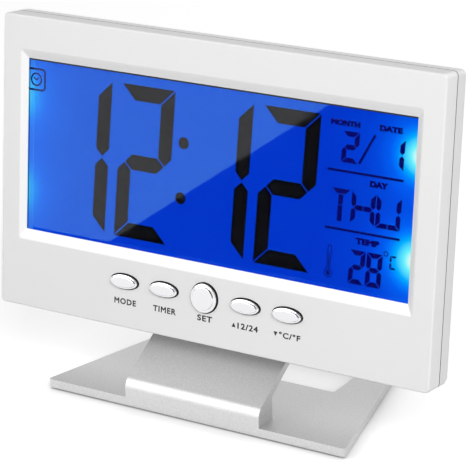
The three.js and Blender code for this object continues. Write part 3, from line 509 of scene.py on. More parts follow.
def display_finish(field):
    """The lit blue field. Near each lamp the light is whiter, and it falls off with the distance."""
    material, tree, shader, place = surface(
        "display_blue", Roughness=0.02, Specular_IOR_Level=1.0, Specular_Tint=(0.28, 1.0, 1.0, 1.0),
        Base_Color=(0.0, 0.004, 0.03, 1.0), Emission_Strength=1.0)
    shaded = tuple(FIELD_SHADE * part for part in field)
    tint = two_tone(tree, noise(tree, place, 40 * MM), shaded, field)
    for node, side, beyond, size, strength in LAMPS_BEHIND:
        tint = lamp_glow(tree, place, tint, lamp_place(node, side, beyond), size, strength)
    feed(tree, shader.inputs["Emission Color"], edge_light(tree, place, tint))
    return material


def segment_finish(name, tint):
    """A dark part of the display, under the same polished film as the field."""
    return grained(name, tint, 0.03, height=0.0, mottle=0.1, polish=0.01, Specular_IOR_Level=0.4)


def lamp_place(node, side, beyond):
    """Where one of a strip's two lamps shines into the display's edge."""
    centre = middle(node)
    edge = (window_edges()[0] + beyond) * np.sign(centre[0])
    return on_case([edge, span("liquid_crystal_cell")[0][1], centre[2] + side * LAMP_SPACING / 2])


EDGE_LIGHT = (0.035, 0.10, 0.05, 1.0)
# Distances from the display's left edge at which the light ends and from which it is full
EDGE_WIDTH = 1.3 * MM
EDGE_FULL = 0.85 * EDGE_WIDTH


def added(tree, first, second, share):
    """A colour plus a share of another one."""
    mix = add_node(tree, "Mix", {"Factor": share, "A": first, "B": second}, data_type="RGBA",
                   blend_type="ADD")
    return mix.outputs["Result"]


def edge_light(tree, place, tint):
    """Adds the light that the light guide lets out along the display's left edge."""
    edge = -window_edges()[0]
    across = add_node(tree, "SeparateXYZ", {"Vector": place}).outputs["X"]
    share = add_node(tree, "MapRange",
                     {"Value": across, "From Min": edge + EDGE_WIDTH, "From Max": edge + EDGE_FULL})
    return added(tree, tint, EDGE_LIGHT, share.outputs["Result"])


def lamp_glow(tree, place, tint, centre, size, strength):
    """Adds a pool of light whose colour follows the distance from its centre."""
    offset = add_node(tree, "VectorMath", {0: place, 1: tuple(centre)}, operation="DISTANCE")
    share = add_node(tree, "MapRange", {"Value": offset.outputs["Value"], "From Max": GLOW_REACH * size})
    ramp = add_node(tree, "ValToRGB", {"Fac": share.outputs["Result"]})
    stops = ramp.color_ramp.elements
    while len(stops) < len(GLOW_STOPS):
        stops.new(1.0)
    for stop, (distance, tone) in zip(stops, GLOW_STOPS):
        stop.position, stop.color = distance * MM / GLOW_REACH, (*tone, 1.0)
    return added(tree, tint, ramp.outputs["Color"], strength)


# Finishes of the inner parts: colour, roughness and metallic share
INNER_LOOKS = {
    "film_white": ((0.92, 0.92, 0.90), 0.6, 0.0),
    "led_board": ((0.88, 0.88, 0.84), 0.35, 0.0),
    "black_plastic": ((0.02, 0.02, 0.022), 0.5, 0.0),
    "steel": ((0.50, 0.51, 0.52), 0.32, 0.9),
    "contact_nickel": ((0.62, 0.60, 0.55), 0.28, 0.9),
    "cell_jacket": ((0.02, 0.10, 0.16), 0.35, 0.3),
    "cell_band": ((0.72, 0.42, 0.10), 0.3, 0.8),
    "lamp_phosphor": ((0.85, 0.75, 0.20), 0.3, 0.0),
    "wire_red": ((0.50, 0.02, 0.015), 0.45, 0.0),
    "wire_black": ((0.015, 0.015, 0.015), 0.45, 0.0),
    "foot_rubber": ((0.03, 0.03, 0.03), 0.85, 0.0),
}
SWITCHES = ("mode", "timer", "set", "up", "down")


def board_finish():
    """Green solder mask with raised copper tracks, five by two and a half millimetres apart."""
    material, tree, shader, place = surface("circuit_board", Roughness=0.35)
    parts = add_node(tree, "SeparateXYZ", {"Vector": place}).outputs
    flat = add_node(tree, "CombineXYZ", {"X": parts["X"], "Y": parts["Z"]})
    tracks = add_node(tree, "TexBrick", {
        "Vector": flat.outputs["Vector"], "Scale": 100.0, "Brick Width": 0.5, "Row Height": 0.25,
        "Mortar Size": 0.02, "Color1": (0.015, 0.14, 0.045, 1.0), "Color2": (0.02, 0.17, 0.055, 1.0),
        "Mortar": (0.05, 0.32, 0.10, 1.0)})
    feed(tree, shader.inputs["Base Color"], tracks.outputs["Color"])
    relief(tree, shader, tracks.outputs["Fac"], 0.02 * MM)
    return material


def zebra_finish():
    """Thin conducting and insulating layers of rubber, in turn across the strip."""
    material, tree, shader, place = surface("zebra_rubber", Roughness=0.7)
    layers = add_node(tree, "TexWave", {"Vector": place, "Scale": 1200.0}, bands_direction="X")
    tone = two_tone(tree, layers.outputs["Fac"], (0.02, 0.02, 0.02), (0.30, 0.28, 0.26))
    feed(tree, shader.inputs["Base Color"], tone)
    return material


def guide_finish():
    """Clear plate with the printed white dots that throw the light forward."""
    material, tree, shader, place = surface("light_guide_clear", Roughness=0.15, Transmission_Weight=0.6,
                                            IOR=1.49)
    dots = add_node(tree, "TexVoronoi", {"Vector": place, "Scale": 700.0, "Randomness": 0.15})
    tone = two_tone(tree, dots.outputs["Distance"], (0.95, 0.96, 0.96), (0.72, 0.80, 0.86), 0.25, 0.3)
    feed(tree, shader.inputs["Base Color"], tone)
    return material


PATTERNED = {"circuit_board": board_finish, "zebra_rubber": zebra_finish, "light_guide_clear": guide_finish}


def inner_finish(name):
    """A finish of the inner parts, made when it is first asked for."""
    made = bpy.data.materials.get(name)
    if made:
        return made
    return PATTERNED[name]() if name in PATTERNED else grained(name, *INNER_LOOKS[name])


# Front bezel

WALL = 2.0 * MM
LENS_LAP = 2.2 * MM
FRAME_LIP = 0.2 * MM
FRAME_SLOPE = {"side": 1.95 * MM, "top": 2.6 * MM, "bottom": 2.95 * MM}
CORNER_RADIUS = 1.4 * MM
BUTTON_CLEARANCE = 0.25 * MM
WINDOW_RADIUS = 0.2 * MM
CREST_RADIUS = 0.6 * MM
INSIDE_RADIUS = 1.0 * MM
BOSS_RADIUS = 3.1 * MM
BORE_RADIUS = 1.5 * MM
CASE_SCREWS = ("case_screw_top_left", "case_screw_top_right", "case_screw_bottom_left",
               "case_screw_bottom_right")
BOARD_SCREWS = ("board_screw_left", "board_screw_right")


def window_edges():
    """Half width, bottom and top of the opening in front of the display."""
    low, high = span("display_window")
    return high[0] - LENS_LAP, low[2] + LENS_LAP, high[2] - LENS_LAP


def window_depths():
    """Depths of the clear window's front and of its back, which lies level with the back of the face."""
    low, high = span("display_window")
    return low[1], high[1]


def bezel_rim():
    """Depth at which the bezel's outer walls end. Its bosses go deeper."""
    local = to_case(node_points("front_bezel"))
    return local[local[:, 0] > local[:, 0].max() - GAP / 10, 1].max()


def bezel_shell(sizes):
    """The bezel's section carried round its frame.

    It runs down the slope to the display, round the pocket of the clear window, along the inside of the
    face and the wall, round the rear rim and forward over the rounded front edge. A row of the section is
    its depth, half width, bottom, top and corner radius.
    """
    low, high = span("front_bezel")
    outward = np.array([0, 1, -1, 1, 0])
    window = np.array([0, *window_edges(), WINDOW_RADIUS])
    window_front, face_back = window_depths()
    lip_back, back = window_front - GAP, bezel_rim()
    slope_end = lip_back - FRAME_LIP
    pocket = window + outward * (LENS_LAP + GAP)
    crest = window + [0, FRAME_SLOPE["side"], -FRAME_SLOPE["bottom"], FRAME_SLOPE["top"], CREST_RADIUS]
    foot = window + [slope_end, 0, 0, 0, 0]
    down = crest + (foot - crest) * (sizes.bevel_blend / slope_end)
    flat = crest + outward * sizes.bevel_blend
    blend = [(1 - t) ** 2 * flat + 2 * t * (1 - t) * crest + t ** 2 * down for t in np.linspace(0, 1, 5)]
    case = np.array([0, high[0], low[2], high[2], CORNER_RADIUS])
    inside = case - outward * WALL
    inside[4] = INSIDE_RADIUS
    edge = []
    for sine, cosine in reversed(arc(0, 90, 8)):
        inset = sizes.edge_round * (1 - sine)
        edge.append(case - outward * inset + [sizes.edge_depth * (1 - cosine), 0, 0, 0, -inset / 2])
    corners = ((window, lip_back), (pocket, lip_back), (pocket, face_back), (inside, face_back),
               (inside, back), (case - outward * sizes.rim_chamfer, back), (case, back - sizes.rim_chamfer))
    rows = [*blend, foot, *(outline + [depth, 0, 0, 0, 0] for outline, depth in corners), *edge]
    return skin(rectangle_rings(rows), loop=True)


def on_frame(middles):
    """Whether places on the case lie on the polished slope round the display, which is also painted lighter as
    painted light.
    """
    half, bottom, top = window_edges()
    across, depth, height = middles.T
    return ((depth > GAP / 3) & (depth < window_depths()[0] - GAP)
            & (np.abs(across) < half + FRAME_SLOPE["side"])
            & (height > bottom - FRAME_SLOPE["bottom"]) & (height < top + FRAME_SLOPE["top"]))


def on_shaded_top(middles):
    """Whether places on the case lie on the upper wall, which is painted darker as painted shade."""
    return middles[:, 2] > span("front_bezel")[1][2] - GAP / 10


def in_gap_shade(chamfer):
    """A test for places on the chamfer at the seam and on the walls of the button holes, which are painted dark as
    painted shade in the gaps.
    """
    rim = bezel_rim()

    def chosen(middles):
        across, depth, height = middles.T
        found = (depth > rim - chamfer) & (depth < rim - chamfer / 10)
        for name in SWITCHES:
            low, high = span(name + "_button")
            found |= ((depth > GAP / 30) & (across > low[0]) & (across < high[0]) & (height > low[2])
                      & (height < high[2]) & (depth < window_depths()[1] - GAP / 10))
        return found

    return chosen


def button_hole(name, sizes):
    """An oval hole through the face, widened by a quarter circle at its mouth."""
    centre, wide, tall = cap_oval(name)
    steps = [(sizes.hole_round, -MM)]
    steps += [(sizes.hole_round * (1 - s), sizes.hole_round * (1 - c)) for s, c in arc(0, 90, 5)]
    steps.append((0.0, window_depths()[1] + MM))
    out = BUTTON_CLEARANCE
    return skin(oval_rings([(wide + out + more, tall + out + more, depth) for more, depth in steps], centre))


def boss(screw, back):
    """A blind tube behind the face for a screw."""
    face_back = window_depths()[1]
    rows = [(CLOSED_END, face_back - GAP), (BOSS_RADIUS, face_back - GAP), (BOSS_RADIUS, back),
            (BORE_RADIUS, back), (BORE_RADIUS, face_back + GAP), (CLOSED_END, face_back + GAP)]
    return skin(round_rings(rows, middle(screw)[[0, 2]], 32))


def bezel_mesh(sizes):
    """Shell of the bezel with its bosses added and its button holes cut."""
    rim, board_front = span("front_bezel")[1][1], span("main_board")[0][1]
    bosses = [boss(screw, rim) for screw in CASE_SCREWS]
    bosses += [boss(screw, board_front - GAP) for screw in BOARD_SCREWS]
    mesh = new_mesh("front_bezel", *bezel_shell(sizes))
    mesh = joined_or_cut(mesh, new_mesh("bosses", *together(*bosses)), "UNION")
    holes = new_mesh("holes", *together(*(button_hole(name, sizes) for name in SWITCHES)))
    return joined_or_cut(mesh, holes, "DIFFERENCE")


# Buttons

BUTTON_FLANGE = 1.0 * MM
BUTTON_FLANGE_THICKNESS = 0.8 * MM
# The raised middle of a cap: how far its edge lies behind its centre, and the power by which it falls
BUTTON_CROWN = 0.06 * MM
CROWN_POWER = 4
# The step round the middle: its distance from the cap's side, its width and its depth
STEP_INSETS = {"set": 1.0 * MM}
STEP_INSET = 0.68 * MM
STEP_WIDTH = 0.26 * MM
STEP_DROP = 0.32 * MM
# Depth by which the band outside the step slopes down
BAND_DROP = 0.08 * MM
# Depth behind which a cap's side is painted near black, as painted shade in the gap round it
SIDE_SHADE_START = -0.6 * MM


def cap_oval(name):
    """Centre, half width and half height of a button's cap, which is narrower than its flange."""
    half = extent(name + "_button") / 2 - BUTTON_FLANGE
    return middle(name + "_button")[[0, 2]], half[0], half[2]


def button_mesh(name, sizes):
    """A cap with a raised middle, on a flange.

    The middle's depth grows with a high power of the distance from its centre. A step in the shape of half
    a cosine wave leads down to a gently sloping band, and a quarter circle leads from the band to the side.
    One ring of the side lies where its painted shade begins.
    """
    centre, wide, tall = cap_oval(name)
    low, high = span(name + "_button")
    inset = STEP_INSETS.get(name, STEP_INSET)
    rows = [((wide - inset) * share, (tall - inset) * share, low[1] + BUTTON_CROWN * share ** CROWN_POWER)
            for share in np.linspace(0.02, 1.0, 15)]
    top = rows[-1][2]
    for out in np.linspace(0, STEP_WIDTH, 9)[1:]:
        wave = 1 - math.cos(math.pi * out / STEP_WIDTH)
        rows.append((wide - inset + out, tall - inset + out, top + STEP_DROP * wave / 2))
    band_end = rows[-1][2] + BAND_DROP
    for sine, cosine in arc(0, 90, 6):
        inset = sizes.button_round * (1 - sine)
        rows.append((wide - inset, tall - inset, band_end + sizes.button_round * (1 - cosine)))
    rows.append((wide, tall, max(SIDE_SHADE_START, rows[-1][2] + MM / 100)))
    flange_front, out = high[1] - BUTTON_FLANGE_THICKNESS, BUTTON_FLANGE
    rows += [(wide, tall, flange_front), (wide + out, tall + out, flange_front),
             (wide + out, tall + out, high[1]), (CLOSED_END, CLOSED_END, high[1])]
    return new_mesh(name + "_button", *skin(oval_rings(rows, centre)))


# Figures on the display, in millimetres from the middle of its window

SLANT = math.tan(math.radians(2.2))
LIT_BARS = {"1": "bc", "2": "abged", "8": "abcdefg", "C": "adef", "T": "atu", "H": "bcefmn", "U": "bcefpq"}


def bar_outlines(width, height, bar):
    """Outlines of the bars that tile a figure's box. They meet on slanting lines.

    Letters a to g are the seven bars of a number, t and u are the halves of a middle stem, m and n those
    of the middle bar, and p and q those of the bottom bar.
    """
    w, h, t, m, c = width, height, bar, height / 2, width / 2
    return {
        "a": [(0, h), (t, h - t), (w - t, h - t), (w, h)],
        "b": [(w, h), (w - t, h - t), (w - t, m + t / 2), (w - t / 2, m), (w, m + t / 2)],
        "c": [(w, 0), (w, m - t / 2), (w - t / 2, m), (w - t, m - t / 2), (w - t, t)],
        "d": [(0, 0), (w, 0), (w - t, t), (t, t)],
        "e": [(0, 0), (t, t), (t, m - t / 2), (t / 2, m), (0, m - t / 2)],
        "f": [(0, h), (0, m + t / 2), (t / 2, m), (t, m + t / 2), (t, h - t)],
        "g": [(t / 2, m), (t, m - t / 2), (w - t, m - t / 2), (w - t / 2, m), (w - t, m + t / 2),
              (t, m + t / 2)],
        "t": [(c - t / 2, m), (c + t / 2, m), (c + t / 2, h - t), (c - t / 2, h - t)],
        "u": [(c - t / 2, 0), (c + t / 2, 0), (c + t / 2, m), (c - t / 2, m)],
        "m": [(t / 2, m), (t, m - t / 2), (c, m - t / 2), (c, m + t / 2), (t, m + t / 2)],
        "n": [(c, m - t / 2), (w - t, m - t / 2), (w - t / 2, m), (w - t, m + t / 2), (c, m + t / 2)],
        "p": [(0, 0), (c, 0), (c, t), (t, t)],
        "q": [(c, 0), (w, 0), (w - t, t), (c, t)],
    }


def drawn_in(outline, margin):
    """A convex outline with each side moved inwards by the margin."""
    points = np.asarray(outline, float)
    along = np.roll(points, -1, 0) - points
    along /= np.linalg.norm(along, axis=1, keepdims=True)
    turn = np.sign(np.cross(along, np.roll(along, -1, 0)).sum())
    inward = turn * np.stack([-along[:, 1], along[:, 0]], axis=1)
    level = (points * inward).sum(1) + margin
    before_inward, before_level = np.roll(inward, 1, 0), np.roll(level, 1)
    scale = inward[:, 0] * before_inward[:, 1] - inward[:, 1] * before_inward[:, 0]
    across = (level * before_inward[:, 1] - before_level * inward[:, 1]) / scale
    height = (before_level * inward[:, 0] - level * before_inward[:, 0]) / scale
    return np.stack([across, height], axis=1)


def figure(sign, left, bottom, width, height, bar, gap):
    """The lit bars of one figure, leaning to the right."""
    outlines = bar_outlines(width, height, bar)
    lit = [drawn_in(outlines[name], gap / 2) for name in LIT_BARS[sign]]
    return [np.stack([left + p[:, 0] + SLANT * (p[:, 1] - height / 2), bottom + p[:, 1]], axis=1)
            for p in lit]


def disc(across, height, radius):
    """Outline of a round dot."""
    angle = full_turn(32)
    return np.stack([across + radius * np.cos(angle), height + radius * np.sin(angle)], axis=1)


def stroke(start, end, thickness):
    """Outline of a straight line of the given thickness."""
    start, end = np.array(start, float), np.array(end, float)
    way = (end - start) / np.linalg.norm(end - start)
    side = np.array([-way[1], way[0]]) * thickness / 2
    return np.array([start - side, end - side, end + side, start + side])


TIME_HEIGHT = 45.8
TIME_WIDTH = 18.6
# Right edge of each large figure, and the figure
TIME_RIGHT_EDGES = ((-34.9, "1"), (-13.3, "2"), (12.7, "1"), (34.2, "2"))
COLON = ((-9.35, 8.1), (-9.95, -8.1))
COLON_RADIUS = 1.75
SMALL_BAR = 1.65
SMALL_GAP = 0.2
# Date, weekday and temperature: each small figure with its left, bottom, width and height
SMALL_FIGURES = (
    ("2", 41.3, 10.2, 5.4, 9.0),
    ("1", 55.2, 10.2, 5.4, 9.0),
    ("T", 38.6, -6.4, 6.2, 9.4),
    ("H", 45.0, -6.4, 7.6, 9.4),
    ("U", 52.7, -6.4, 7.8, 9.4),
    ("2", 45.2, -23.4, 5.1, 9.9),
    ("8", 50.5, -23.4, 5.1, 9.9),
)
# The unit of the temperature, with the thickness of its bars and their gaps
UNIT_FIGURE = ("C", 57.7, -17.3, 2.3, 4.0, 0.7, 0.15)
# Ends and thickness of the slash between month and date
SLASH = ((46.9, 10.4), (51.5, 19.1), 0.75)
# Middle, half width, half height and thickness of the ring before the unit
DEGREE_RING = (56.6, -13.2, 0.62, 0.62, 0.3)


def time_outlines(sizes):
    """Hours and minutes with the colon between them."""
    shapes = []
    for right, sign in TIME_RIGHT_EDGES:
        shapes += figure(sign, right - TIME_WIDTH, -TIME_HEIGHT / 2, TIME_WIDTH, TIME_HEIGHT,
                         sizes.digit_bar / MM, sizes.digit_gap / MM)
    return shapes + [disc(across, height, COLON_RADIUS) for across, height in COLON]


def small_outlines():
    """Date, weekday and temperature."""
    shapes = [bar for place in SMALL_FIGURES for bar in figure(*place, SMALL_BAR, SMALL_GAP)]
    return shapes + figure(*UNIT_FIGURE)


# The thermometer: middle, radius and open angles of its bulb, then its tube
BULB = (38.9, -21.6)
BULB_RADIUS = 1.15
BULB_FILL = 0.62
BULB_ANGLES = (118, 422)
TUBE_START = BULB[1] + 1.0
TUBE_END = -14.2
TUBE_HALF = 0.55
TUBE_LEAN = 0.3
COLUMN_END = (BULB[0] + 0.2, TUBE_END - 1.6)
LINE_WIDTHS = {"bulb": 0.28, "tube": 0.25, "column": 0.3}
# The alarm clock sign: its middle, half its square, the square's corner radius, and its clock
ALARM_PLACE = (-61.6, 19.7)
ALARM_HALF = 3.1
ALARM_CORNER = 0.9
ALARM_FACE = 1.8
ALARM_HANDS = ((-0.9, 0.6), (0.9, 0.6))
ALARM_HANDS_START = -0.2
ALARM_WIDTHS = {"square": 0.6, "face": 0.5, "hands": 0.4}


def thermometer_outlines():
    """A bulb with a tube on it, and the column inside."""
    shapes = [disc(*BULB, BULB_FILL)]
    shapes += round_stroke(*BULB, BULB_RADIUS, BULB_RADIUS, LINE_WIDTHS["bulb"], *BULB_ANGLES)
    line = LINE_WIDTHS["tube"]
    for side in (-TUBE_HALF, TUBE_HALF):
        across = BULB[0] + side
        shapes.append(stroke((across + SLANT, TUBE_START), (across + TUBE_LEAN, TUBE_END), line))
    shapes += round_stroke(BULB[0] + TUBE_LEAN, TUBE_END, TUBE_HALF, TUBE_HALF, line, 0, 180)
    return shapes + [stroke(BULB, COLUMN_END, LINE_WIDTHS["column"])]


def sign_outlines():
    """Slash of the date, ring of the degrees, thermometer and alarm clock sign."""
    return [stroke(*SLASH), *round_stroke(*DEGREE_RING), *thermometer_outlines(), *alarm_outlines()]


def round_stroke(across, height, wide, tall, thickness, start=0, end=360, steps=20):
    """Outlines of short straight lines that follow an oval from one angle to another."""
    angle = np.radians(np.linspace(start, end, steps + 1))
    points = np.stack([across + wide * np.cos(angle), height + tall * np.sin(angle)], axis=1)
    return [stroke(first, second, thickness) for first, second in zip(points[:-1], points[1:])]


def alarm_outlines():
    """A round clock with two hands in a square with round corners."""
    across, height = ALARM_PLACE
    reach, line = ALARM_HALF - ALARM_CORNER, ALARM_WIDTHS["square"]
    shapes = []
    for start, right, upper in ((0, 1, 1), (90, -1, 1), (180, -1, -1), (270, 1, -1)):
        shapes += round_stroke(across + right * reach, height + upper * reach, ALARM_CORNER, ALARM_CORNER,
                               line, start, start + 90, 5)
        way = np.array([np.cos(np.radians(start)), np.sin(np.radians(start))])
        side = np.array([-way[1], way[0]]) * reach
        edge = np.array([across, height]) + way * ALARM_HALF
        shapes.append(stroke(edge - side, edge + side, line))
    shapes += round_stroke(across, height, ALARM_FACE, ALARM_FACE, ALARM_WIDTHS["face"])
    start = (across, height + ALARM_HANDS_START)
    return shapes + [stroke(start, (across + right, height + up), ALARM_WIDTHS["hands"])
                     for right, up in ALARM_HANDS]


def display_point(across, height):
    """A place on the display, in millimetres from its middle, as across and height on the case."""
    centre = middle("display_window")
    return np.array([centre[0] + across * MM, centre[2] + height * MM])


def inked(name, outlines, depth, ink, offset):
    """Thin plates of the given outlines, standing on the surface at the given depth."""
    return case_mesh(name, *(prism(offset + np.asarray(outline) * MM, depth - ink, depth)
                             for outline in outlines))


def word_mesh(name, text, box, depth, ink, bold, spacing=1.0):
    """A word as thin plates that fill a box of left, right, bottom and top."""
    curve = bpy.data.curves.new(name, "FONT")
    curve.body, curve.size, curve.resolution_u = text, 1.0, 4
    curve.extrude, curve.bevel_depth, curve.bevel_resolution = 0.5, bold, 0
    curve.space_character = spacing
    left, right, bottom, top = box

    def placed(points):
        share = (points - points.min(0)) / np.ptp(points, axis=0)
        return on_case(np.stack([left + share[:, 0] * (right - left), depth - ink * share[:, 2],
                                 bottom + share[:, 1] * (top - bottom)], axis=1))

    return turn_outwards(move_points(evaluated(new_object(name, curve)), placed))


# Name, text and box of each caption, and how far all of them are moved
LEGENDS = (
    ("month", "MONTH", (37.8, 46.9, 20.3, 22.0)),
    ("date", "DATE", (52.8, 59.8, 20.5, 22.2)),
    ("day", "DAY", (50.7, 56.4, 4.6, 6.4)),
    ("temp", "TEMP", (47.2, 54.6, -11.9, -10.1)),
)
LEGENDS_CENTRE = (-0.9, -0.35)
LEGEND_BOLD = 0.08
RULES = (((37.5, 7.95), (60.9, 7.95)), ((37.5, -8.45), (60.7, -8.45)))
RULE_WIDTH = 0.7
# Place from which each group of figures is drawn
GROUP_CENTRES = {
    "time_figures": (-1.0, -0.4),
    "small_figures": (-0.7, -0.4),
    "display_signs": (-0.75, -0.3),
    "display_rules": (-0.95, -0.5),
}
# Widths of the dark lines on the window, painted shade under the frame's edges. Those at the sides end just below
# the one at the top
SHADE_LINE_TOP = 0.56
SHADE_LINE_LEFT = 0.245
SHADE_LINE_RIGHT = 0.175
SHADE_LINE_JOIN = 1.1 * SHADE_LINE_TOP


def shade_line_outlines():
    """Dark lines on the window along the top and the sides of its opening, painted shade under the frame's edges.
    """
    half, bottom, top = (edge / MM for edge in window_edges())
    centre = middle("display_window")[2] / MM
    bottom, top = bottom - centre, top - centre
    lines = [stroke((-half, top - SHADE_LINE_TOP / 2), (half, top - SHADE_LINE_TOP / 2), SHADE_LINE_TOP)]
    for side, width in ((-1, SHADE_LINE_LEFT), (1, SHADE_LINE_RIGHT)):
        across = side * (half - width / 2)
        lines.append(stroke((across, bottom), (across, top - SHADE_LINE_JOIN), width))
    return lines


def display_box(left, right, bottom, top):
    """A box among the display's legends as a box on the case."""
    across, height = LEGENDS_CENTRE
    lower = display_point(left + across, bottom + height)
    upper = display_point(right + across, top + height)
    return lower[0], upper[0], lower[1], upper[1]


# Printed words under the buttons, in millimetres across and up from the face's lower edge

WORD_BOTTOM = 7.1
WORD_TOP = 8.9
BUTTON_WORDS = (
    ("mode", "MODE", (-31.0, -23.4)),
    ("timer", "TIMER", (-17.4, -9.5)),
    ("set", "SET", (-2.2, 2.8)),
    ("hours", "12/24", (11.3, 18.1)),
    ("degrees", "°C/°F", (25.0, 31.9)),
)
WORD_BOLD = 0.03
WORD_SPACING = 1.15
ARROW_SIZE = 1.3
# Left corner of each arrow, and 1 for upwards or -1 for downwards
ARROWS = ((9.4, 1), (23.2, -1))


def arrow_outlines():
    """A triangle that points up and one that points down, before the words of the last two buttons."""
    height = (WORD_BOTTOM + WORD_TOP) / 2
    outlines = []
    for left, way in ARROWS:
        base, tip = height - way * ARROW_SIZE / 2, height + way * ARROW_SIZE / 2
        outlines.append([(left, base), (left + ARROW_SIZE, base), (left + ARROW_SIZE / 2, tip)])
    return outlines


# Inner parts

# Nodes that keep their shape: slot, width of the softened edges in millimetres, and the nodes
BACKLIGHT_SHAPES = (
    ("film_white", 0.0, ("diffuser_film", "reflector_film")),
    ("film_white", 0.2, ("display_tray",)),
    ("light_guide_clear", 0.1, ("light_guide",)),
    ("zebra_rubber", 0.1, ("zebra_connector",)),
)
BOARD_SHAPES = (
    ("circuit_board", 0.05, ("main_board",)),
    ("black_plastic", 0.0, ("temperature_sensor",)),
    ("steel", 0.1, ("selector_switch_body", *(name + "_switch_body" for name in SWITCHES))),
)
# Half sections of round parts whose axis points back: slot, then share of the radius and of the depth
TURNED_SHAPES = {
    "buzzer": ("black_plastic", ((0.01, 0), (1, 0), (1, 0.88), (0.97, 0.96), (0.9, 1), (0.2, 1), (0.18, 0.95),
                                 (0.18, 0.75), (0.01, 0.75))),
    "microphone": ("steel", ((0.01, 0), (1, 0), (1, 0.92), (0.95, 1), (0.62, 1), (0.60, 0.96), (0.01, 0.96))),
    "controller_chip": ("black_plastic", ((0.01, 0), (1, 0), (0.99, 0.12), (0.95, 0.35), (0.86, 0.6),
                                          (0.7, 0.82), (0.5, 0.94), (0.25, 0.99), (0.01, 1))),
    **{name + "_switch_plunger": ("black_plastic", ((0.01, 0), (0.6, 0), (0.88, 0.05), (1, 0.18), (1, 1),
                                                    (0.01, 1))) for name in SWITCHES},
}


def keep_shapes(groups):
    """Smooth stand-ins for nodes that keep their shape."""
    for slot, soften, nodes in groups:
        for node in nodes:
            smooth_node(node, slot, soften=soften * MM)


def turned_node(node, slot, section):
    """A round part with the given half section, as wide and as deep as its node."""
    front, (width, deep, _) = span(node)[0][1], extent(node)
    rows = [(share * width / 2, front + deep * back) for share, back in section]
    stand_in(node, case_mesh(node, skin(round_rings(rows, middle(node)[[0, 2]], 48))), slot)


def turned_rings(rows, depth, height, steps=48):
    """Circles round a line that runs across, one for each row of across and radius."""
    rings = round_rings([(radius, across) for across, radius in rows], (depth, height), steps)
    return rings[..., [1, 0, 2]]


# Half section of the crystal's can at either end: millimetres from it, and share of the radius
CRYSTAL_END = ((0, 0.02), (0, 0.8), (0.1, 0.93), (0.3, 1))


def crystal_mesh():
    """A round metal can with rounded rims, lying across."""
    low, high = span("quartz_crystal")
    radius = extent("quartz_crystal")[2] / 2
    rows = [(low[0] + along * MM, share * radius) for along, share in CRYSTAL_END]
    rows += [(high[0] - along * MM, share * radius) for along, share in reversed(CRYSTAL_END)]
    return case_mesh("quartz_crystal", skin(turned_rings(rows, *middle("quartz_crystal")[1:])))


# Half section of a cell: millimetres from the flat end, or from the positive one, and share of the radius.
# The bright band lies between two of the distances from the positive end.
CELL_BAND = (3.5, 13)
CELL_FLAT_END = ((0, 0.02), (0, 0.60), (0.25, 0.64), (0.25, 0.86), (0, 0.90), (0.1, 0.96), (0.4, 1))
CELL_POSITIVE_END = ((CELL_BAND[1], 1), (CELL_BAND[0], 1), (1.4, 1), (1.1, 0.96), (1, 0.90), (1.25, 0.86),
                     (1.25, 0.44), (0.9, 0.36), (0.3, 0.35), (0.1, 0.32), (0, 0.26), (0, 0.02))
# Share of the radius within which the ends are bare metal
BARE_SHARE = 0.87


def positive_side(cell):
    """1 when the small positive end of the cell is on the right, otherwise -1."""
    local = to_case(node_points(cell))
    right_end = local[local[:, 0] > local[:, 0].max() - GAP / 10, 2]
    return 1 if np.ptp(right_end) < extent(cell)[2] / 2 else -1


def add_cell(node):
    """A cell with rolled ends, a printed jacket with a bright band, and a small positive end."""
    centre, side = middle(node), positive_side(node)
    half, _, radius = extent(node) / 2
    rows = [(along * MM - half, share * radius) for along, share in CELL_FLAT_END]
    rows += [(half - along * MM, share * radius) for along, share in CELL_POSITIVE_END]
    rings = turned_rings([(centre[0] + side * along, r) for along, r in rows], *centre[1:])
    piece = stand_in(node, case_mesh(node, skin(rings)), "cell_jacket")

    def on_band(middles):
        from_end = half - side * (middles[:, 0] - centre[0])
        return (from_end > CELL_BAND[0] * MM) & (from_end < CELL_BAND[1] * MM)

    def on_metal(middles):
        return np.hypot(*(middles[:, 1:] - centre[1:]).T) < BARE_SHARE * radius

    more_finish(piece, inner_finish("cell_band"), on_band)
    more_finish(piece, inner_finish("contact_nickel"), on_metal)


CONTACT_SHEET = 0.4 * MM
DIMPLE_RADIUS = 1.8 * MM
DIMPLE_HEIGHT = 0.7 * MM
SPRING_WIRE = 0.3 * MM
SPRING_LENGTH = 4.2 * MM
SPRING_WIDE = 2.7 * MM
SPRING_NARROW = 1.7 * MM
SPRING_TURNS = 4.5
# Each contact: its side, and for each cell whether it meets it with a spring
CONTACTS = {
    "positive_contact": (1, {"cell_1": False}),
    "bridge_contact_right": (1, {"cell_2": True, "cell_3": False}),
    "bridge_contact_left": (-1, {"cell_1": True, "cell_2": False}),
    "negative_contact": (-1, {"cell_3": True}),
}


def coil(face, side, depth, height):
    """A round wire along a cone-shaped helix that stands on a contact's face.

    At the share t of its length, the wire's middle lies at a radius that goes evenly from wide to narrow,
    at the angle of t times all turns, and at t times the length from the face.
    """
    share = np.linspace(0, 1, int(SPRING_TURNS * 28) + 1)[:, None]
    angle = 2 * np.pi * SPRING_TURNS * share
    outward = np.hstack([0 * angle, np.cos(angle), np.sin(angle)])
    radius = SPRING_WIDE + (SPRING_NARROW - SPRING_WIDE) * share
    along = face - side * (SPRING_WIRE + (SPRING_LENGTH - 2 * SPRING_WIRE) * share)
    path = np.hstack([along, 0 * along + depth, 0 * along + height]) + radius * outward
    turn = full_turn(12)[None, :, None]
    section = np.cos(turn) * outward[:, None] + np.sin(turn) * np.array([1.0, 0, 0])
    return skin(path[:, None] + SPRING_WIRE * section)


def dimple(face, side, depth, height):
    """A low dome pressed out of a contact's face. Its section is a quarter of an ellipse."""
    rows = [(face + side * GAP, DIMPLE_RADIUS)]
    rows += [(face - side * DIMPLE_HEIGHT * s, DIMPLE_RADIUS * c) for s, c in arc(0, 88, 10)]
    return skin(turned_rings(rows, depth, height, 32))


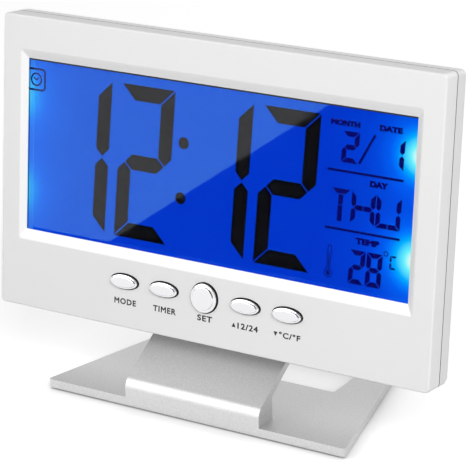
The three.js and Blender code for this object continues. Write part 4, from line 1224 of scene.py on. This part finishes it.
def add_contact(node):
    """The contact's sheet from its node, with coiled springs and domes in place of plain cylinders."""
    side, cells = CONTACTS[node]
    face = side * (span("bridge_contact_right")[1][0] - CONTACT_SHEET)
    low, high = span(node)
    outline = rectangle(face - side * (SPRING_LENGTH + MM), face, low[2] - MM, high[2] + MM)
    tool = case_mesh("tool", prism(outline, low[1] - MM, high[1] + MM))
    sheet = joined_or_cut(merged_copy(node), tool, "DIFFERENCE")
    ends = [(coil if spring else dimple)(face, side, *middle(cell)[1:]) for cell, spring in cells.items()]
    stand_in(node, combined(node, sheet, case_mesh("ends", *ends)), "contact_nickel")


SCREW_HEAD = 1.5 * MM
SCREW_CORE = 0.9 * MM
THREAD = 0.28 * MM
PITCH = 0.9 * MM
TIP_SHARE = 0.4
RECESS_ARM = 1.4 * MM
RECESS_HALF = 0.28 * MM
RECESS_DEPTH = 0.9 * MM


def screw_mesh(node):
    """A threaded pan-head screw with a cross recess.

    The thread's radius is the core plus its height times a zigzag of the turns along minus the turns round.
    The tip narrows over one pitch. The head's top is part of an ellipse.
    """
    low, high = span(node)
    head_radius, (across, _, height) = extent(node)[0] / 2, middle(node)
    seat = high[1] - SCREW_HEAD
    depth = np.linspace(low[1], seat, int((seat - low[1]) / PITCH * 8))[:, None]
    angle = full_turn(32)
    along = (depth - low[1]) / PITCH
    turns = along - angle / (2 * np.pi)
    taper = np.minimum(1.0, TIP_SHARE + (1 - TIP_SHARE) * along)
    radius = (SCREW_CORE + THREAD * (1 - np.abs(2 * (turns % 1.0) - 1))) * taper
    thread = np.stack([across + radius * np.cos(angle), depth + 0 * radius, height + radius * np.sin(angle)],
                      axis=-1)
    rim = seat + SCREW_HEAD / 3
    rows = [(head_radius, seat)]
    rows += [(head_radius * c, rim + (high[1] - rim) * s) for s, c in arc(0, 88, 10)]
    head = round_rings(rows, (across, height), 32)
    mesh = new_mesh(node, *skin(np.concatenate([thread, head])))
    a, b = RECESS_ARM, RECESS_HALF
    plus = [(a, b), (b, b), (b, a), (-b, a), (-b, b), (-a, b), (-a, -b), (-b, -b), (-b, -a), (b, -a), (b, -b),
            (a, -b)]
    recess = prism(np.array(plus) + [across, height], high[1] - RECESS_DEPTH, high[1] + MM)
    return joined_or_cut(mesh, new_mesh("recess", *recess), "DIFFERENCE")


# Middles of the grooves from the knob's middle, and of the ridges from the door's upper edge, in millimetres
KNOB_GROOVES = (-0.8, 0.0, 0.8)
GROOVE_HALF = 0.18 * MM
GROOVE_DEPTH = 0.25 * MM
DOOR_RIDGES = (3.0, 4.4, 5.8, 7.2)
RIDGE_HALF = 4.5 * MM
RIDGE_WIDTH = 0.7 * MM


def grooved_knob():
    """The selector's knob with three upright grooves for a fingertip."""
    low, high = span("selector_knob")
    cuts = []
    for across in KNOB_GROOVES:
        centre = middle("selector_knob")[0] + across * MM
        outline = rectangle(centre - GROOVE_HALF, centre + GROOVE_HALF, low[2] - MM, high[2] + MM)
        cuts.append(prism(outline, high[1] - GROOVE_DEPTH, high[1] + MM))
    return joined_or_cut(merged_copy("selector_knob"), case_mesh("grooves", *cuts), "DIFFERENCE")


def ridged_door():
    """The battery door with four raised bars below its latch."""
    back, top = span("battery_door")[1][1:]
    bars = []
    for down in DOOR_RIDGES:
        height = top - down * MM
        outline = stroke((-RIDGE_HALF, height), (RIDGE_HALF, height), RIDGE_WIDTH)
        bars.append(prism(outline, back - GAP, back + GAP))
    return joined_or_cut(merged_copy("battery_door"), case_mesh("bars", *bars), "UNION")


# Stage

CAMERA_PLACE = (0.3282, -0.5293, 0.2751)
CAMERA_RIGHT = (0.85127, 0.52421, -0.02325)
CAMERA_DOWN = (0.16173, -0.30428, -0.93875)
CAMERA_AHEAD = (-0.49918, 0.79537, -0.34380)
LENS = 173.95
SENSOR = 36.0
FLOOR_SIZE = 6.0
# Corners on the display, in millimetres from its middle, of the shade that the card on the floor gives it
GLARE_SHAPE = ((-39.0, -28.0), (40.0, 28.0), (70.0, 28.0), (70.0, -28.0))
CARD_LIFT = 0.5 * MM
# Reach of the dark under the stand, and the floor's own light where nothing shades it
CONTACT_SHADOW = 8.0 * MM
FLOOR_LIFT = 0.68
WHITE = (1.0, 1.0, 1.0, 1.0)
DARK_CARDS = {
    "card_above": ((-0.20, -0.70, 0.62), (0.80, -0.70, 0.62), (0.80, 0.10, 0.62), (-0.20, 0.10, 0.62)),
    "card_right": ((0.80, -0.70, 0.12), (0.80, 0.10, 0.12), (0.80, 0.10, 0.62), (0.80, -0.70, 0.62)),
    "card_left": ((-0.95, -0.45, 0.35), (-0.95, 0.25, 0.35), (-0.95, 0.25, 0.80), (-0.95, -0.45, 0.80)),
}


def visible_to_eye(tree):
    """One for rays from the camera and for rays that gloss or clear material sends on, otherwise nought."""
    path = add_node(tree, "LightPath").outputs
    seen = add_node(tree, "Math", {0: path["Is Camera Ray"], 1: path["Is Glossy Ray"]}, operation="MAXIMUM")
    seen = add_node(tree, "Math", {0: seen.outputs[0], 1: path["Is Transmission Ray"]}, operation="MAXIMUM")
    return seen.outputs[0]


def studio_world(ambient):
    """White where it is seen, and a softer light where it only lights the clock."""
    world = bpy.data.worlds.new("studio")
    world.use_nodes = True
    tree = world.node_tree
    background = tree.nodes["Background"].inputs
    background["Color"].default_value = WHITE
    level = add_node(tree, "MapRange", {"Value": visible_to_eye(tree), "To Min": ambient, "To Max": 1.0})
    feed(tree, background["Strength"], level.outputs["Result"])
    return world


def floor_material():
    """A pale floor that keeps shadows, lifted so that it is white where nothing shades it."""
    material, tree, shader = plain_surface("floor", Base_Color=(0.48, 0.48, 0.48, 1.0), Roughness=1.0,
                                           Specular_IOR_Level=0.0, Emission_Color=WHITE)
    level = add_node(tree, "MapRange", {"Value": visible_to_eye(tree), "To Min": 0.0, "To Max": FLOOR_LIFT})
    contact = add_node(tree, "AmbientOcclusion", {"Distance": CONTACT_SHADOW})
    light = add_node(tree, "Math", {0: level.outputs["Result"], 1: contact.outputs["AO"]},
                     operation="MULTIPLY")
    feed(tree, shader.inputs["Emission Strength"], light.outputs[0])
    return material


def black_card():
    """A dull black card that only reflections show."""
    return plain_surface("black_card", Base_Color=(0.0, 0.0, 0.0, 1.0), Roughness=1.0,
                         Specular_IOR_Level=0.0)[0]


def stage_sheet(name, corners, material):
    """A flat sheet that belongs to the studio."""
    mesh = bpy.data.meshes.new(name)
    mesh.from_pydata([tuple(corner) for corner in corners], [], [tuple(range(len(corners)))])
    mesh.materials.append(material)
    sheet = new_object(name, mesh)
    return sheet


def unseen(sheet, in_gloss, in_clear):
    """Hides a sheet from everything but mirror images in gloss, or those behind clear material."""
    sheet.visible_camera = sheet.visible_diffuse = sheet.visible_shadow = False
    sheet.visible_glossy, sheet.visible_transmission = in_gloss, in_clear


def glare_corners():
    """Corners of a black card on the floor, which the display mirrors over its lower right.

    The camera is mirrored in the window. Lines from the mirrored camera through the corners of the wanted
    shade are carried on to just above the floor.
    """
    normal = -AXES[1]
    places = [display_point(*corner) for corner in GLARE_SHAPE]
    corners = on_case([[across, window_depths()[0], height] for across, height in places])
    eye = np.array(CAMERA_PLACE)
    mirrored = eye - 2 * ((eye - corners[0]) @ normal) * normal
    reach = (CARD_LIFT - mirrored[2]) / (corners[:, 2] - mirrored[2])
    return mirrored + reach[:, None] * (corners - mirrored)


def add_camera():
    """The photograph's camera, fitted to the corners of the clock."""
    data = bpy.data.cameras.new("camera")
    data.lens, data.sensor_width, data.sensor_fit = LENS, SENSOR, "HORIZONTAL"
    data.clip_start, data.clip_end = 0.01, 100.0
    camera = new_object("camera", data)
    right, down, ahead = (Vector(axis) for axis in (CAMERA_RIGHT, CAMERA_DOWN, CAMERA_AHEAD))
    turn = Matrix((right, -down, -ahead)).transposed().to_4x4()
    camera.matrix_world = Matrix.Translation(CAMERA_PLACE) @ turn
    bpy.context.scene.camera = camera


# Each lamp: its name, place, size and power, whether it lights dull surfaces and whether gloss shows it
LAMPS = (
    ("right", (0.80, -0.85, 0.85), 0.8, 16.6, True, False),
    ("left", (-0.75, -0.90, 0.85), 0.8, 5.2, True, True),
    ("sheen", (-0.72, -1.10, 0.52), 0.9, 5.0, False, True),
    ("side", (1.30, -0.10, 0.40), 0.7, 2.0, True, False),
    ("back", (0.20, 1.20, 0.30), 0.6, 6.0, True, False),
)
LAMP_AIM = (0.0, 0.0, 0.05)
AMBIENT = 0.16


def add_lamp(name, place, size, power, lights, shines):
    """A square soft lamp turned to the clock. Reflections show the white room where it doesn't shine."""
    data = bpy.data.lights.new(name, "AREA")
    data.size, data.energy = size, power
    lamp = new_object(name, data)
    lamp.location = place
    lamp.rotation_euler = (Vector(LAMP_AIM) - Vector(place)).to_track_quat("-Z", "Y").to_euler()
    lamp.visible_diffuse, lamp.visible_glossy = lights, shines


# Operators

# Each look of the case's plastic: share of its colour, and roughness. The slope round the display is a polished
# copy that is also painted lighter, as painted light. The top is painted darker and the rim of the rear cover
# near black, as painted shade. The rear cover is a little darker.
CASE_LOOKS = {
    "case_plastic": (1.0, 0.42),
    "frame_polish_painted_light": (1.10, 0.3),
    "top_painted_shade": (0.87, 0.42),
    "rear_plastic": (0.93, 0.42),
    "rim_painted_shade": (0.2, 0.7),
}


def case_plastic(colours, name="case_plastic"):
    """Moulded plastic with a fine spark-eroded texture."""
    share, roughness = CASE_LOOKS[name]
    tint = tuple(share * part for part in colours.case)
    return grained(name, tint, roughness, grain=0.25 * MM, height=0.003 * MM, mottle=0.008, cloud=30 * MM)


class CLOCK_OT_stage(bpy.types.Operator):
    """Add the camera, lamps, floor and white room"""

    bl_idname = "clock.stage"
    bl_label = "Stage"

    def execute(self, context):
        context.scene.view_settings.view_transform = "Standard"
        context.scene.world = studio_world(AMBIENT)
        half = FLOOR_SIZE / 2
        floor = [(x, y, 0) for x, y in rectangle(-half, half, -half, half)]
        stage_sheet("floor", floor, floor_material())
        black = black_card()
        unseen(stage_sheet("glare_card", glare_corners(), black), False, True)
        for name, corners in DARK_CARDS.items():
            unseen(stage_sheet(name, corners, black), True, False)
        for lamp in LAMPS:
            add_lamp(*lamp)
        add_camera()
        return {"FINISHED"}


class CLOCK_OT_bezel(bpy.types.Operator):
    """Make the front bezel"""

    bl_idname = "clock.bezel"
    bl_label = "Front bezel"

    def execute(self, context):
        sizes, colours = context.scene.clock_sizes, context.scene.clock_colours
        piece = add_piece("bezel_surface", move_points(bezel_mesh(sizes), on_case), case_plastic(colours),
                          "head", ("front_bezel",))
        # The slope round the display gets a glossier copy of the plastic that is painted lighter: polish, and
        # painted light.
        more_finish(piece, case_plastic(colours, "frame_polish_painted_light"), on_frame)
        # The top gets a darker copy of the plastic: painted shade.
        more_finish(piece, case_plastic(colours, "top_painted_shade"), on_shaded_top)
        # The seam's chamfer and the button holes' walls are near black: painted shade in the gaps.
        more_finish(piece, grained("gap_painted_shade", (0.02, 0.02, 0.02), 0.8), in_gap_shade(sizes.rim_chamfer))
        return {"FINISHED"}


def seam_closer(seam):
    """Moves the rim of the rear cover forward, up to the width of the visible seam from the bezel."""
    rim = bezel_rim() + GAP

    def move(points):
        on_rim = np.abs(to_case(points)[:, 1] - rim) < GAP / 10
        return points + np.outer(on_rim * (seam - GAP), AXES[1])

    return move


class CLOCK_OT_rear_cover(bpy.types.Operator):
    """Make the rear cover and the battery door"""

    bl_idname = "clock.rear_cover"
    bl_label = "Rear cover"

    def execute(self, context):
        sizes, colours = context.scene.clock_sizes, context.scene.clock_colours
        finish, soften = case_plastic(colours, "rear_plastic"), sizes.soften / 2
        piece = smooth_node("rear_cover", "case_plastic", finish, soften=soften, move=seam_closer(sizes.seam))
        rim = bezel_rim() + sizes.seam
        # The rim of the rear cover at the seam gets a near-black copy of the plastic: painted shade in the seam.
        more_finish(piece, case_plastic(colours, "rim_painted_shade"),
                    lambda middles: np.abs(middles[:, 1] - rim) < GAP / 10)
        stand_in("battery_door", ridged_door(), "case_plastic", finish, soften=soften)
        return {"FINISHED"}


class CLOCK_OT_buttons(bpy.types.Operator):
    """Make the five push buttons"""

    bl_idname = "clock.buttons"
    bl_label = "Buttons"

    def execute(self, context):
        sizes, colours = context.scene.clock_sizes, context.scene.clock_colours
        finish = grained("button_chrome", colours.chrome, 0.05, 1.0, grain=1.5 * MM, height=0.0002 * MM,
                         mottle=0.01, polish=0.02)
        # Each cap's side further back is near black: painted shade in the gap round the cap.
        bare = grained("button_side_shade", (0.012, 0.012, 0.013), 0.6)
        for name in SWITCHES:
            mesh = move_points(button_mesh(name, sizes), on_case)
            cap = add_piece(name + "_cap", mesh, finish, name + "_button",
                            (name + "_button",), sharp=50.0)
            more_finish(cap, bare, lambda middles: middles[:, 1] > SIDE_SHADE_START)
        return {"FINISHED"}


class CLOCK_OT_display(bpy.types.Operator):
    """Light the display and add its window, figures and legends"""

    bl_idname = "clock.display"
    bl_label = "Display"

    def execute(self, context):
        sizes, colours = context.scene.clock_sizes, context.scene.clock_colours
        paint_node("display_window", window_finish())
        paint_node("liquid_crystal_cell", display_finish(tuple(colours.display)))
        dark = segment_finish("segments_and_shade_lines", (0.002, 0.002, 0.003))
        navy = segment_finish("legend_navy", tuple(colours.legend))
        depth = span("liquid_crystal_cell")[0][1]
        for name, outlines, finish in (
                ("time_figures", time_outlines(sizes), dark),
                ("small_figures", small_outlines(), navy),
                ("display_signs", sign_outlines(), navy),
                ("display_rules", [stroke(*ends, RULE_WIDTH) for ends in RULES], navy)):
            mesh = inked(name, outlines, depth, sizes.ink, display_point(*GROUP_CENTRES[name]))
            add_piece(name, mesh, finish, "head")
        # Dark lines along the window's opening, in the figures' finish: painted shade under the frame's edges.
        mesh = inked("window_shade_lines", shade_line_outlines(), window_depths()[0], sizes.ink, display_point(0, 0))
        add_piece("window_shade_lines", mesh, dark, "head")
        for name, text, box in LEGENDS:
            mesh = word_mesh(name, text, display_box(*box), depth, sizes.ink, LEGEND_BOLD)
            add_piece("legend_" + name, mesh, navy, "head")
        return {"FINISHED"}


class CLOCK_OT_words(bpy.types.Operator):
    """Print the words under the buttons"""

    bl_idname = "clock.words"
    bl_label = "Printed words"

    def execute(self, context):
        sizes = context.scene.clock_sizes
        black = grained("print_black", tuple(context.scene.clock_colours.print), 0.6, mottle=0.1)
        for name, text, (left, right) in BUTTON_WORDS:
            box = (left * MM, right * MM, WORD_BOTTOM * MM, WORD_TOP * MM)
            mesh = word_mesh(name, text, box, 0.0, sizes.ink, WORD_BOLD, WORD_SPACING)
            add_piece("word_" + name, mesh, black, "head")
        mesh = inked("arrows", arrow_outlines(), 0.0, sizes.ink, 0.0)
        add_piece("arrows", mesh, black, "head")
        return {"FINISHED"}


# Depth and height at which the planes of the neck's front and its slope meet, and how far they turn there
FOLD_CORNER = (-32.5 * MM, 8.0 * MM)
FOLD_TURN = math.radians(58.04)
# Radius of the fold in the construction model, and the one that is seen
FOLD_RADIUS = 2.4 * MM
WIDE_FOLD_RADIUS = 3.8 * MM


def fold_centre(radius):
    """Depth and height of the centre of a round that touches the neck's front and its slope."""
    return np.array(FOLD_CORNER) + [radius, -radius * math.tan(FOLD_TURN / 2)]


def widen_fold(points):
    """Moves the places on the neck's fold to a round of a larger radius, each at its own angle."""
    way = points[:, 1:] - fold_centre(FOLD_RADIUS)
    far = np.linalg.norm(way, axis=1)
    on_fold = (np.abs(far - FOLD_RADIUS) < GAP / 30) & (way[:, 0] < 0) & (way[:, 1] > -GAP / 30)
    wide = fold_centre(WIDE_FOLD_RADIUS) + way * (WIDE_FOLD_RADIUS / FOLD_RADIUS)
    moved = points.copy()
    moved[on_fold, 1:] = wide[on_fold]
    return moved


class CLOCK_OT_stand(bpy.types.Operator):
    """Make the stand"""

    bl_idname = "clock.stand"
    bl_label = "Stand"

    def execute(self, context):
        finish = grained("stand_silver", tuple(context.scene.clock_colours.stand), 0.5, 0.85,
                         grain=0.3 * MM, height=0.02 * MM, mottle=0.07, cloud=0.45 * MM, polish=0.08)
        smooth_node("stand", "stand_silver", finish, 25.0, context.scene.clock_sizes.soften, widen_fold)
        return {"FINISHED"}


def paint_node(node, material):
    """Gives a construction node its finish."""
    materials = frame["nodes"][node].data.materials
    materials.clear()
    materials.append(material)


class CLOCK_OT_backlight(bpy.types.Operator):
    """Make the backlight, its tray and the display's connector"""

    bl_idname = "clock.backlight"
    bl_label = "Backlight"

    def execute(self, context):
        keep_shapes(BACKLIGHT_SHAPES)
        for node in ("led_strip_left", "led_strip_right"):
            piece = smooth_node(node, "led_board")
            edge = np.abs(to_case(node_points(node))[:, 0]).min()
            more_finish(piece, inner_finish("lamp_phosphor"),
                        lambda middles: np.abs(middles[:, 0]) < edge + GAP / 10)
        return {"FINISHED"}


class CLOCK_OT_board(bpy.types.Operator):
    """Make the main board and what it carries"""

    bl_idname = "clock.board"
    bl_label = "Main board"

    def execute(self, context):
        keep_shapes(BOARD_SHAPES)
        for node, (slot, section) in TURNED_SHAPES.items():
            turned_node(node, slot, section)
        stand_in("quartz_crystal", crystal_mesh(), "contact_nickel")
        stand_in("selector_knob", grooved_knob(), "black_plastic", soften=0.1 * MM)
        return {"FINISHED"}


class CLOCK_OT_battery(bpy.types.Operator):
    """Make the cells, their contacts and their wires"""

    bl_idname = "clock.battery"
    bl_label = "Battery"

    def execute(self, context):
        for node in ("cell_1", "cell_2", "cell_3"):
            add_cell(node)
        for node in CONTACTS:
            add_contact(node)
        for colour_name in ("red", "black"):
            slot = "wire_" + colour_name
            smooth_node("battery_" + slot, slot, sharp=70.0)
        return {"FINISHED"}


class CLOCK_OT_screws(bpy.types.Operator):
    """Make the case screws and the board screws"""

    bl_idname = "clock.screws"
    bl_label = "Screws"

    def execute(self, context):
        for node in (*CASE_SCREWS, *BOARD_SCREWS):
            stand_in(node, move_points(screw_mesh(node), on_case), "steel")
        return {"FINISHED"}


class CLOCK_OT_feet(bpy.types.Operator):
    """Make the rubber feet"""

    bl_idname = "clock.feet"
    bl_label = "Feet"

    def execute(self, context):
        for place in ("front_left", "front_right", "back_left", "back_right"):
            smooth_node("foot_" + place, "foot_rubber", soften=0.3 * MM)
        return {"FINISHED"}


OPERATORS = (CLOCK_OT_stage, CLOCK_OT_bezel, CLOCK_OT_rear_cover, CLOCK_OT_buttons, CLOCK_OT_display,
             CLOCK_OT_words, CLOCK_OT_stand, CLOCK_OT_backlight, CLOCK_OT_board, CLOCK_OT_battery,
             CLOCK_OT_screws, CLOCK_OT_feet)


class CLOCK_PT_panel(bpy.types.Panel):
    """Lists the clock's pieces, sizes and colours"""

    bl_idname = "CLOCK_PT_panel"
    bl_label = "Digital alarm clock"
    bl_space_type = "VIEW_3D"
    bl_region_type = "UI"
    bl_category = "Clock"

    def draw(self, context):
        for group in (context.scene.clock_sizes, context.scene.clock_colours):
            box = self.layout.box()
            for name in group.bl_rna.properties.keys():
                if name not in ("rna_type", "name"):
                    box.prop(group, name)
        for operator in OPERATORS:
            self.layout.operator(operator.bl_idname)


CLASSES = (ClockSizes, ClockColours, *OPERATORS, CLOCK_PT_panel)


def register():
    for one in CLASSES:
        bpy.utils.register_class(one)
    bpy.types.Scene.clock_sizes = PointerProperty(type=ClockSizes)
    bpy.types.Scene.clock_colours = PointerProperty(type=ClockColours)


def unregister():
    del bpy.types.Scene.clock_sizes
    del bpy.types.Scene.clock_colours
    for one in reversed(CLASSES):
        bpy.utils.unregister_class(one)


def main():
    register()
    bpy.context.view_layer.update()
    for operator in OPERATORS:
        family, name = operator.bl_idname.split(".")
        getattr(getattr(bpy.ops, family), name)()


if __name__ == "__main__":
    main()
